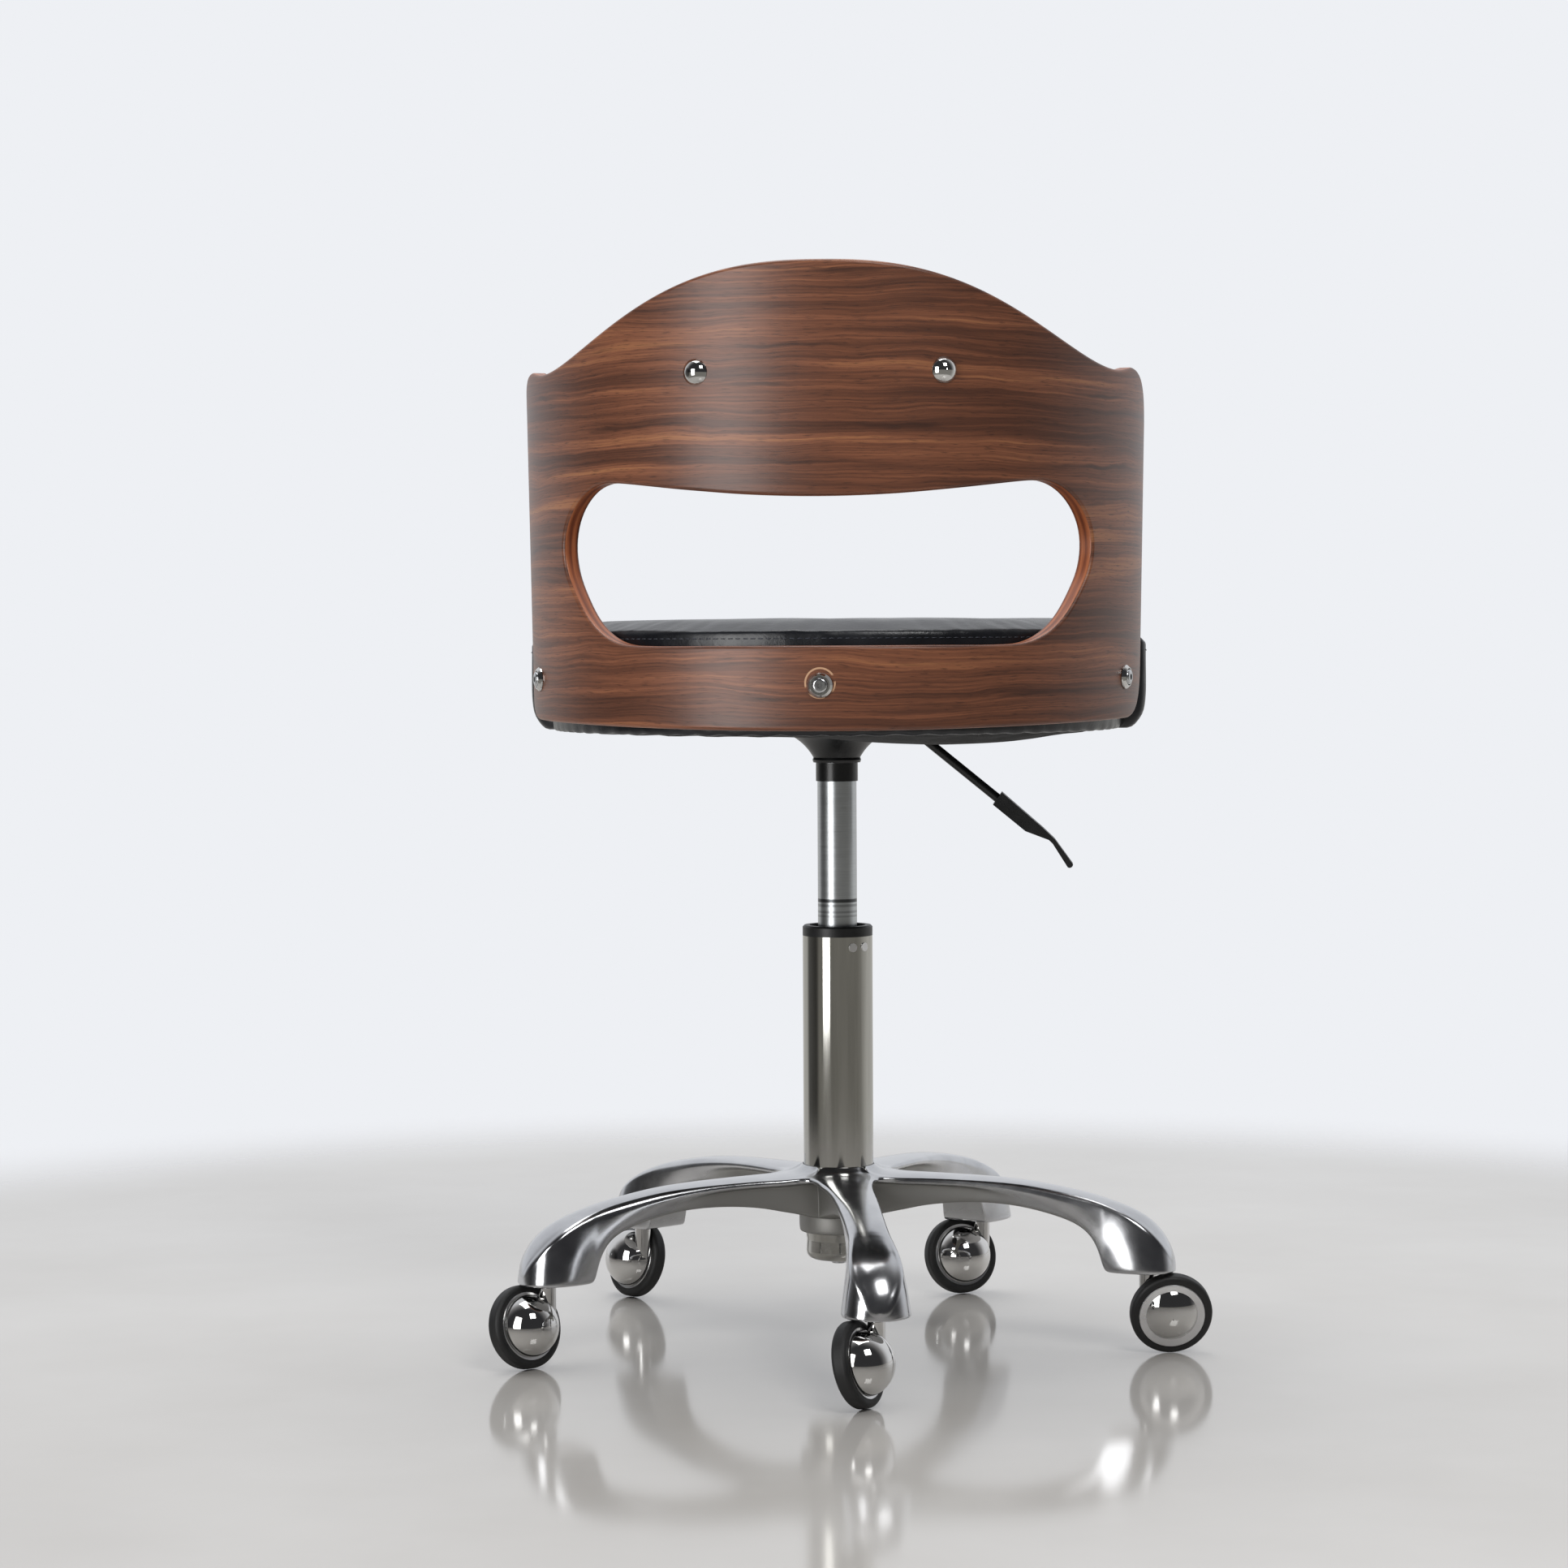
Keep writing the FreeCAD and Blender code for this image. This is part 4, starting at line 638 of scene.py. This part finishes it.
# %% [markdown]
# ## The five-star base
# The base is one aluminium casting. Each arm has a crowned top with a rolled lip, a thinner rib below it,
# and a hoof-shaped foot that holds the caster's socket; the five arms run together in a hub with rounded
# notches between them. Half an arm is drawn as a grid of cross-sections, mirrored, turned five times and
# welded, and a subdivision surface makes it as smooth as buffed metal. A solid loft would show a seam at
# every section.

# %% Half an arm as cross-sections
# Along the arm from the column: station, underside, ridge, half width at the shoulders, how far the
# shoulders lie under the ridge, and half width of the underside.
ARM = np.array([
    (52, 98.5, 123.0, 18.6, 2.0, 14.4), (64, 101.3, 122.8, 17.0, 1.8, 12.8),
    (82, 103.4, 122.4, 15.7, 1.8, 11.8), (100, 104.2, 121.8, 15.0, 1.8, 11.4),
    (118, 103.9, 120.8, 14.7, 1.8, 11.6), (135, 102.0, 119.4, 14.5, 1.9, 12.0),
    (148, 99.3, 117.6, 14.3, 2.0, 12.4), (160, 96.2, 115.5, 14.3, 2.0, 13.0),
    (170, 92.8, 113.6, 14.4, 2.1, 13.9), (178, 88.6, 111.9, 14.5, 2.2, 14.8),
    (184, 83.0, 110.4, 14.7, 2.4, 15.7), (188.5, 75.5, 109.2, 15.0, 2.6, 16.6),
    (191.5, 66.5, 108.3, 15.3, 2.8, 17.5), (193.6, 59.6, 107.7, 15.6, 3.0, 18.2),
    (197, 58.4, 106.6, 15.9, 3.2, 19.3), (204, 58.3, 104.4, 16.8, 4.2, 21.2),
    (212, 58.3, 101.4, 17.8, 5.4, 22.9), (220, 58.3, 97.2, 18.4, 6.5, 23.7),
    (227, 58.3, 92.0, 17.9, 7.0, 23.0), (233, 58.3, 85.4, 15.8, 7.0, 20.4),
    (237.5, 58.3, 78.2, 12.6, 6.0, 16.4), (240.4, 58.3, 71.0, 9.0, 4.5, 11.6),
    (242, 58.3, 63.8, 5.0, 2.5, 6.2)])
NECK, NOTCH, BOSS, HUB_TOP, HUB_LOW, NECK_TOP, WEB_LOW = 25.15, 42.0, 28.4, 123.2, 80.0, 129.6, 92.5
FAN = np.radians([0, 9, 18, 27, 36])
BOSS_RINGS = ((BOSS, WEB_LOW - 1.0), (BOSS, HUB_LOW + 1.2), (BOSS - 1.0, HUB_LOW), (NECK, HUB_LOW))
# Rows of a section that the hub meets: the lip's edge, and the first one on the boss.
LIP_ROW, BOSS_ROW = 7, 14


def section(station, underside, ridge, half, crown, low):
    """One cross-section of half an arm, from the middle of its top round to the middle of its underside."""
    roll = min(np.interp(station, (52, 100, 135, 175, 242), (2.2, 2.6, 5.0, 6.5, 4.0)), 0.45 * half)
    level = half - roll
    shoulder = ridge - crown * (level / half) ** 2.2
    rim = shoulder - roll
    rows = [(level * q, ridge - crown * (level * q / half) ** 2.2) for q in (0, 0.3, 0.6, 0.84, 1.0)]
    bends = np.radians((32, 62, 90))
    rows += [(level + roll * math.sin(a), shoulder - roll * (1 - math.cos(a))) for a in bends]
    plain = eased((station - 95) / 50)
    rib = 4.6
    foot = min(low, half - rib)
    flange = [(half, rim - 1.2), (half - 0.7, rim - 2.2), (half - rib * 0.9, rim - 3.0),
              (half - rib, rim - 5.0), (foot, underside + 1.2)]
    drop = rim - underside
    smooth = [(half + (low - half) * q + 1.6 * q * (1 - q), rim - drop * q) for q in (0.14, 0.32, 0.54, 0.77)]
    smooth.append((low, underside + 1.0))
    rows += [tuple((1 - plain) * np.array(a) + plain * np.array(b)) for a, b in zip(flange, smooth)]
    heel = rows[-1][0] - 1.0
    rows += [(heel * q, underside) for q in (1.0, 0.82, 0.6, 0.4, 0.2, 0.0)]
    return np.array([(station, across, height) for across, height in rows])


arm_grid = [section(*row) for row in ARM]
first_section = arm_grid[0]
row_count = len(first_section)

# Where each of those rows starts at the hub: round the neck, out along the plane between two arms, down the
# notch and its rib, and back in to the boss.
edge_drop = HUB_TOP - 2.4
starts = [(NECK * math.cos(a), NECK * math.sin(a), NECK_TOP) for a in FAN]
BETWEEN = np.array((math.cos(FAN[-1]), math.sin(FAN[-1])))
wedge = [(34.0, HUB_TOP + 0.1), (40.6, HUB_TOP - 0.6), (NOTCH, edge_drop), (NOTCH, edge_drop - 1.2),
         (NOTCH - 0.7, edge_drop - 2.2), (BOSS + 4.0, edge_drop - 3.0), (BOSS + 0.6, edge_drop - 5.0),
         (BOSS, WEB_LOW + 5.0), (BOSS, WEB_LOW + 0.6)]
starts += [(*(BETWEEN * reach), height) for reach, height in wedge]
starts += [(BOSS * math.cos(a), BOSS * math.sin(a), WEB_LOW) for a in FAN[::-1]]
starts = np.array(starts)
pull = np.array((38.2, 19.2)) - 0.5 * (BETWEEN * NOTCH + first_section[LIP_ROW, :2])
hub_grid = []
for share in (0.0, 0.035, 0.1, 0.22, 0.38, 0.58, 0.8):
    column = starts + (first_section - starts) * share
    settle = (1 - share) ** 7
    for row in range(row_count):
        lean = np.clip((row - 3) / 4, 0, 1) ** 2 if row < 10 else 0
        column[row, :2] += 2 * share * (1 - share) * lean * pull
        if row < 7:
            flat_start = HUB_TOP if row < 5 else starts[row, 2]
            rise = (NECK_TOP - HUB_TOP) * settle if row < 5 else 0
            column[row, 2] = flat_start + (first_section[row, 2] - flat_start) * share + rise
    hub_grid.append(column)
half_arm = np.array(hub_grid + arm_grid)
print("half arm: sections", len(half_arm), "rows", row_count)

# %% Mirror, turn and weld the casting
ARM_BEARING, ARM_PITCH = -80.8, 72.0
casting = bmesh.new()
as_cast_and_shade = casting.verts.layers.float.new("as_cast_and_shade")
ends = []
for turn in range(5):
    bearing = math.radians(ARM_BEARING + turn * ARM_PITCH)
    for side in (1, -1):
        ring = [[None] * row_count for _ in half_arm]
        for i, column in enumerate(half_arm):
            for row, (out, across, height) in enumerate(column):
                x = out * math.cos(bearing) - side * across * math.sin(bearing)
                y = out * math.sin(bearing) + side * across * math.cos(bearing)
                ring[i][row] = casting.verts.new((x * MM, y * MM, height * MM))
                sheltered = eased((row - 8) / 2) * eased((150 - out) / 50)
                # The second share greys the undersides out to the heels: unbuffed there, and painted shade as
                # well.
                ring[i][row][as_cast_and_shade] = max(sheltered, eased((row - 11) / 1.5) * eased((200 - out) / 24))
        for i in range(len(half_arm) - 1):
            for row in range(row_count - 1):
                corners = [ring[i][row], ring[i + 1][row], ring[i + 1][row + 1], ring[i][row + 1]]
                casting.faces.new(corners if side > 0 else corners[::-1])
        rims = [[ring[0][BOSS_ROW + k] for k in range(5)]]
        for radius, height in BOSS_RINGS:
            rims.append([])
            for a in FAN[::-1]:
                x, y = radius * math.cos(bearing + side * a), radius * math.sin(bearing + side * a)
                spot = casting.verts.new((x * MM, y * MM, height * MM))
                spot[as_cast_and_shade] = 1.0
                rims[-1].append(spot)
        rims.append([ring[0][4 - k] for k in range(5)])
        for upper, lower in zip(rims, rims[1:]):
            for k in range(4):
                corners = [upper[k], upper[k + 1], lower[k + 1], lower[k]]
                casting.faces.new(corners if side > 0 else corners[::-1])
        ends.append(ring[-1])
for right_end, left_end in zip(ends[0::2], ends[1::2]):
    for row in range(row_count - 1):
        corners = [right_end[row], left_end[row], left_end[row + 1], right_end[row + 1]]
        if row == 0:
            corners = [right_end[0], left_end[1], right_end[1]]
        if row == row_count - 2:
            corners = [right_end[row], left_end[row], left_end[row + 1]]
        casting.faces.new(corners[::-1])
bmesh.ops.remove_doubles(casting, verts=casting.verts, dist=0.02 * MM)
bmesh.ops.dissolve_degenerate(casting, edges=casting.edges, dist=0.01 * MM)
bmesh.ops.recalc_face_normals(casting, faces=casting.faces)

star_mesh = bpy.data.meshes.new("star_casting")
casting.to_mesh(star_mesh)
casting.free()
star_mesh.materials.append(buffed)
star_mesh.shade_smooth()
star = bpy.data.objects.new("star_casting", star_mesh)
scene.collection.objects.link(star)
smoothed(star, 2)
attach(star, "base")
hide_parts("star_base")
print("star casting: points", len(star_mesh.vertices))

# %% [markdown]
# ## The leather seat
# The seat is a drum of foam in a leather cover: a round top panel sewn to a boxing strip, which is pulled
# under the board and stapled. The wooden back presses half of it flat; past the back's ends it swells free.
# The cover is drawn slack, row by row from the hem to the middle of the top, and a cloth simulation blows
# it up, held at the hem, at the seam and where the back presses.

# %% The seat's outline and the rows of its cover
SEAT_BACK, SEAT_FRONT, SEAT_MIDDLE = 202.4, 223.8, np.array((0.0, 9.0))

turn = np.radians(np.linspace(0, 90, 58))
back_arc = np.column_stack([np.sin(turn), -np.cos(turn)]) * SEAT_BACK
# Just past the end of the wooden back the leather steps out to the seat's full width.
STEP = np.array([
    (203.2, 0.7), (206.5, 0.9), (211.2, 1.1), (215.6, 1.6), (219.4, 2.9), (221.8, 5.4), (223.0, 9.4)])
turn = np.linspace(math.asin(14 / SEAT_FRONT), math.pi / 2, 60)
front_arc = np.column_stack([np.cos(turn), np.sin(turn)]) * SEAT_FRONT
right_edge = np.vstack([back_arc, STEP, front_arc])
seat_edge = both_halves(right_edge)
seat_out = seat_edge - SEAT_MIDDLE
seat_out /= np.linalg.norm(seat_out, axis=1)[:, None]
calm_edge = SEAT_MIDDLE + seat_out * 210.5
in_front = np.where(seat_edge[:, 1] > 6, 1.0, eased((np.abs(seat_edge[:, 0]) - 203) / 12))
forward_share = eased((seat_edge[:, 1] + 90) / 125)

# Each row: how far inside the outline and how high, at the back and then at the front.
COVER = [
    (36, 442.4, 40, 442.4), (22, 441.4, 30, 441.6), (8, 441.0, 20, 441.0), (2.1, 441.4, 12.6, 441.2),
    (0.9, 443.4, 9.6, 443.0), (0.4, 448, 4.2, 449.4), (0.3, 455, 1.8, 456), (0.2, 466, 0.5, 463.5),
    (0.2, 477, 0.0, 472), (0.2, 488, 0.0, 481), (0.3, 497, 0.3, 488.5), (0.5, 504.8, 0.9, 494.2),
    (0.8, 508.2, 1.7, 497.4), (1.9, 509.8, 2.6, 499.0), (2.6, 511.2, 3.2, 501.0),
    (5.0, 513.4, 5.6, 504.6), (9.5, 515.0, 10.5, 508), (17, 516.1, 18.5, 511), (28, 516.7, 31, 513.4),
    (45, 517.0, 49, 515.2), (70, 517.3, 73, 516.4), (105, 517.5, 110, 517.2), (150, 517.7, 155, 517.7),
    (186, 517.8, 188, 517.8)]
HEM, STITCH, SEAM = 4, 11, 13
SLACK, SLACK_TOP = 2.6, 515.3


def cover_row(number, back_inset, back_height, front_inset, front_height):
    """One row of the slack cover, all round."""
    slack = SLACK * math.sin(math.pi * np.clip((number - HEM) / (SEAM - HEM), 0, 1))
    inset = back_inset + (front_inset + slack - back_inset) * in_front
    height = back_height + (front_height - back_height) * forward_share
    height = height - SLACK * eased((number - SEAM - 1) / 5)
    inner = np.clip((inset - 6) / 40, 0, 1)[:, None]
    rim = seat_edge * (1 - inner) + calm_edge * inner
    return np.column_stack([rim - seat_out * inset[:, None], height])


around = len(seat_edge)
cover_rows = [cover_row(number, *row) for number, row in enumerate(COVER)]
slack_cover = np.vstack(cover_rows + [[(*SEAT_MIDDLE, SLACK_TOP)]])
cover_faces = ring_faces(len(COVER), around)
last = (len(COVER) - 1) * around
cover_faces += [(last + i, last + (i + 1) % around, last + around) for i in range(around)]
print("cover: rows", len(COVER), "points round", around)

# %% Blow the cover up


def swelled(points, faces, held, pressure, cap, frames=20):
    """Blows up a slack cover by cloth simulation. Held points stay, and none moves past the cap, in mm."""
    mesh = bpy.data.meshes.new("slack")
    mesh.from_pydata((points * MM).tolist(), [], faces)
    slack = bpy.data.objects.new("slack", mesh)
    scene.collection.objects.link(slack)
    slack.vertex_groups.new(name="held").add([int(i) for i in np.flatnonzero(held)], 1.0, "REPLACE")
    cloth = slack.modifiers.new("swell", "CLOTH")
    cloth.settings.quality = 6
    cloth.settings.mass = 0.4
    cloth.settings.vertex_group_mass = "held"
    cloth.settings.use_pressure = True
    cloth.settings.uniform_pressure_force = pressure
    cloth.settings.effector_weights.gravity = 0
    cloth.collision_settings.use_collision = False
    cloth.point_cache.frame_end = frames
    for number in range(1, frames + 1):
        scene.frame_set(number)
    blown = slack.evaluated_get(bpy.context.evaluated_depsgraph_get()).to_mesh()
    after = np.array([vertex.co for vertex in blown.vertices]) / MM
    scene.frame_set(1)
    bpy.data.objects.remove(slack)
    move = after - points
    far = np.linalg.norm(move, axis=1)
    most, usual = float(far.max()), float(np.median(far[~held]))
    print("swelled: most", round(most, 2), "mm, middle", round(usual, 2), "mm")
    return points + move * np.minimum(1, cap / np.maximum(far, 1e-6))[:, None]


row_of = np.append(np.repeat(np.arange(len(COVER)), around), len(COVER))
front_of_row = np.append(np.tile(in_front, len(COVER)), 0)
pressed = (row_of <= SEAM) & (front_of_row < 0.5)
held = (row_of <= HEM) | (row_of == SEAM) | pressed
cover = swelled(slack_cover, cover_faces, held, 4.0, 3.4)

# %% Creases, pleats and the seam


def rumple(place, size):
    """Soft noise between about -1 and 1, with bumps of a given size in millimetres."""
    return noise.noise(Vector(place) / size)


for index, (row, spot) in enumerate(zip(row_of, cover)):
    if row >= len(COVER):
        continue
    column = index % around
    out = np.array((*seat_out[column], 0))
    bearing = math.atan2(spot[0], -spot[1])
    along = bearing * 205
    if HEM <= row <= SEAM:
        # Fine slanting crinkles where the strip is squeezed, strongest under the seam.
        near_seam = eased((row - HEM - 2) / 6)
        crinkle = rumple((along + 0.5 * spot[2], spot[2] * 0.45, 3), 9)
        crinkle += 0.5 * rumple((along, spot[2] * 0.5, 9), 5)
        cover[index] -= out * 0.6 * near_seam * (crinkle + 0.5)
        join = abs(along + 31)
        if row < SEAM and join < 4:
            cover[index] -= out * 0.7 * (1 - join / 4)
    if row > SEAM:
        # Puckers run in from the seam and die away, and the seat dips a little where people sit.
        pucker = rumple((along, 0.2 * row, 5), 11) * math.exp(-(row - SEAM) / 2.6)
        cover[index, 2] += 0.8 * pucker + 0.9 * rumple((spot[0], spot[1], 7), 60)
    if 1 <= row <= HEM + 1:
        # Under the edge the strip is gathered in pleats of uneven width.
        phase = along / 17 + 0.8 * rumple((along, 0, 11), 60)
        pleat = abs(math.sin(math.pi * phase))
        cover[index, 2] -= (0.0, 1.0, 2.2, 1.4, 0.0)[row - 1] * pleat
        cover[index] += out * (0.0, 0.2, 0.4, 0.5, 0.3)[row - 1] * pleat

# Where the board presses, no crinkle reaches into it.
PRESSED_RADIUS = 202.8
in_back = (row_of <= SEAM) & (front_of_row < 0.05)
reach = np.linalg.norm(cover[:, :2], axis=1)
cover[in_back, :2] *= np.minimum(1, PRESSED_RADIUS / reach[in_back])[:, None]

seat = piece("leather_seat", cover, cover_faces, "seat", [leather],
             ["seat_cover", "seat_foam"])
smoothed(seat, 1)
print("leather seat: points", len(cover))

# %% Stitches
# A row of stitches holds the strip under the seam: 4 mm long, one each 5.3 mm.
STITCH_PITCH, STITCH_LONG, STITCH_THICK = 5.3, 4.0, 0.38
# Rings of one stitch: share of its length, share of its thickness, and how far proud of the leather.
STITCH_RINGS = ((0, 0.25, -0.35), (0.14, 0.85, 0.1), (0.5, 1.0, 0.25), (0.86, 0.85, 0.1), (1, 0.25, -0.35))
path = cover[STITCH * around:(STITCH + 1) * around]
loop = np.vstack([path, path[:1]])
length = run_lengths(loop)
count = int(length[-1] / STITCH_PITCH)


def on_seam(distance):
    """The point so far along the row of stitches."""
    return np.array([np.interp(distance, length, loop[:, k]) for k in range(3)])


stitch_points, stitch_faces = [], []
for number in range(count):
    start = length[-1] * number / count
    first, end = on_seam(start), on_seam(start + STITCH_LONG)
    run = end - first
    run /= np.linalg.norm(run)
    face_out = np.cross(run, (0, 0, 1))
    face_out /= np.linalg.norm(face_out)
    lift = np.cross(face_out, run)
    base = len(stitch_points)
    for share, thick, proud in STITCH_RINGS:
        middle = first + (end - first) * share + face_out * proud
        for k in range(6):
            turn = k * math.pi / 3
            spoke = face_out * math.cos(turn) + lift * math.sin(turn)
            stitch_points.append(middle + STITCH_THICK * thick * spoke)
    for ring in range(4):
        for k in range(6):
            a, b = base + ring * 6 + k, base + ring * 6 + (k + 1) % 6
            stitch_faces.append((a, b, b + 6, a + 6))
    stitch_faces += [tuple(base + k for k in range(6))[::-1], tuple(base + 24 + k for k in range(6))]
stitches = piece("seat_stitches", stitch_points, stitch_faces, "seat", [thread])
print("stitches", count)

# %% [markdown]
# ## The dust cover
# A disc of thin bonded cloth is stapled under the board to hide the staples and the frame. It hangs in
# shallow waves between the staples and bellies a little on the lever's side, and it has a slot for the
# lever.

# %% Dust cover
CLOTH_INNER, CLOTH_OUTER, CLOTH_LEVEL = 52.0, 196.0, 440.0
SCREWS = [(x, y) for x in (-65, 65) for y in (-65, 65)]
# The lever's slot: how far it reaches out from the middle, and its half width.
SLOT_REACH, SLOT_HALF = 86.0, 9.0
radii = np.linspace(CLOTH_INNER, CLOTH_OUTER, 30)
turns = np.radians(np.arange(0, 360, 2.0))
spots, sheet_faces = [], []
for radius in radii:
    for turn in turns:
        x, y = radius * math.cos(turn), radius * math.sin(turn)
        rim = eased((radius - 150) / 46)
        belly = 8.5 * math.exp(-((x - 75) / 88) ** 2 - ((y + 75) / 80) ** 2) * (1 - rim)
        heads = sum(2.8 * math.exp(-((x - a) ** 2 + (y - b) ** 2) / 15 ** 2) for a, b in SCREWS)
        wave = 0.7 * rim * math.cos(turn * 30 + 1.5 * math.sin(3 * turn))
        wave += 0.5 * (1 - rim) * rumple((x, y, 2), 40)
        tucked = eased((radius - 178) / 16)
        spots.append((x, y, CLOTH_LEVEL - 0.8 + 2.0 * tucked - max(belly, heads) + wave * (1 - 0.6 * tucked)))
for corners in ring_faces(len(radii), len(turns)):
    middle = np.mean([spots[k] for k in corners], axis=0)
    if not (0 < middle[0] < SLOT_REACH and abs(middle[1]) < SLOT_HALF):
        sheet_faces.append(corners[::-1])
dust = piece("dust_cloth", spots, sheet_faces, "seat", [nonwoven], ["dust_cover"])

# %% [markdown]
# ## The back pad
# Two dome bolts through the back hold a pad on its inner face. The pad is a leather cushion on a small
# board, made like the seat: a slack cover, blown up, held where it meets the board.

# %% Back pad
PAD_MIDDLE, PAD_REAR, PAD_FRONT = 677.0, 201.2, 178.8
# Right half of the pad: degrees round the back, and height above its middle.
PAD = np.array([
    (0, 64), (15, 60), (26, 50), (34, 38), (40, 23), (43.5, 4), (44, -17), (42, -36), (37, -50),
    (29, -57), (15, -63), (0, -66)])
PAD_BEND = 195.0
half = np.column_stack([np.radians(PAD[:, 0]) * PAD_BEND, PAD[:, 1]])
pad_line = resampled(smooth_loop(both_halves(half)), 4.5)
# Rings from the back of the pad round to its face: share of the outline, and radius about the column.
PAD_RINGS = [
    (0.5, 201.2), (0.9, 201.3), (0.965, 200.6), (0.99, 198.0), (1.0, 194.4), (0.992, 190.4),
    (0.965, 186.4), (0.92, 183.2), (0.86, 181.2), (0.76, 179.9), (0.6, 179.2), (0.4, 178.9),
    (0.18, 178.8)]


def on_pad(flat, radius):
    """Flat pad points (along, up) bent round the column at a radius."""
    angle = flat[:, 0] / PAD_BEND
    return np.column_stack([radius * np.sin(angle), -radius * np.cos(angle), PAD_MIDDLE + flat[:, 1]])


pad_points = np.vstack([on_pad(pad_line * share, radius) for share, radius in PAD_RINGS]
                       + [on_pad(np.zeros((1, 2)), PAD_REAR), on_pad(np.zeros((1, 2)), PAD_FRONT)])
count = len(pad_line)
pad_faces = ring_faces(len(PAD_RINGS), count)
last = (len(PAD_RINGS) - 1) * count
rear, middle = last + count, last + count + 1
pad_faces += [((i + 1) % count, i, rear) for i in range(count)]
pad_faces += [(last + i, last + (i + 1) % count, middle) for i in range(count)]
pad_ring = np.append(np.repeat(np.arange(len(PAD_RINGS)), count), (0, len(PAD_RINGS)))
pad_points = swelled(pad_points, pad_faces, pad_ring <= 4, 3.0, 0.8)
pad = piece("leather_pad", pad_points, pad_faces, "seat", [leather], ["back_pad"])
smoothed(pad, 1)
print("back pad: points", len(pad_points))
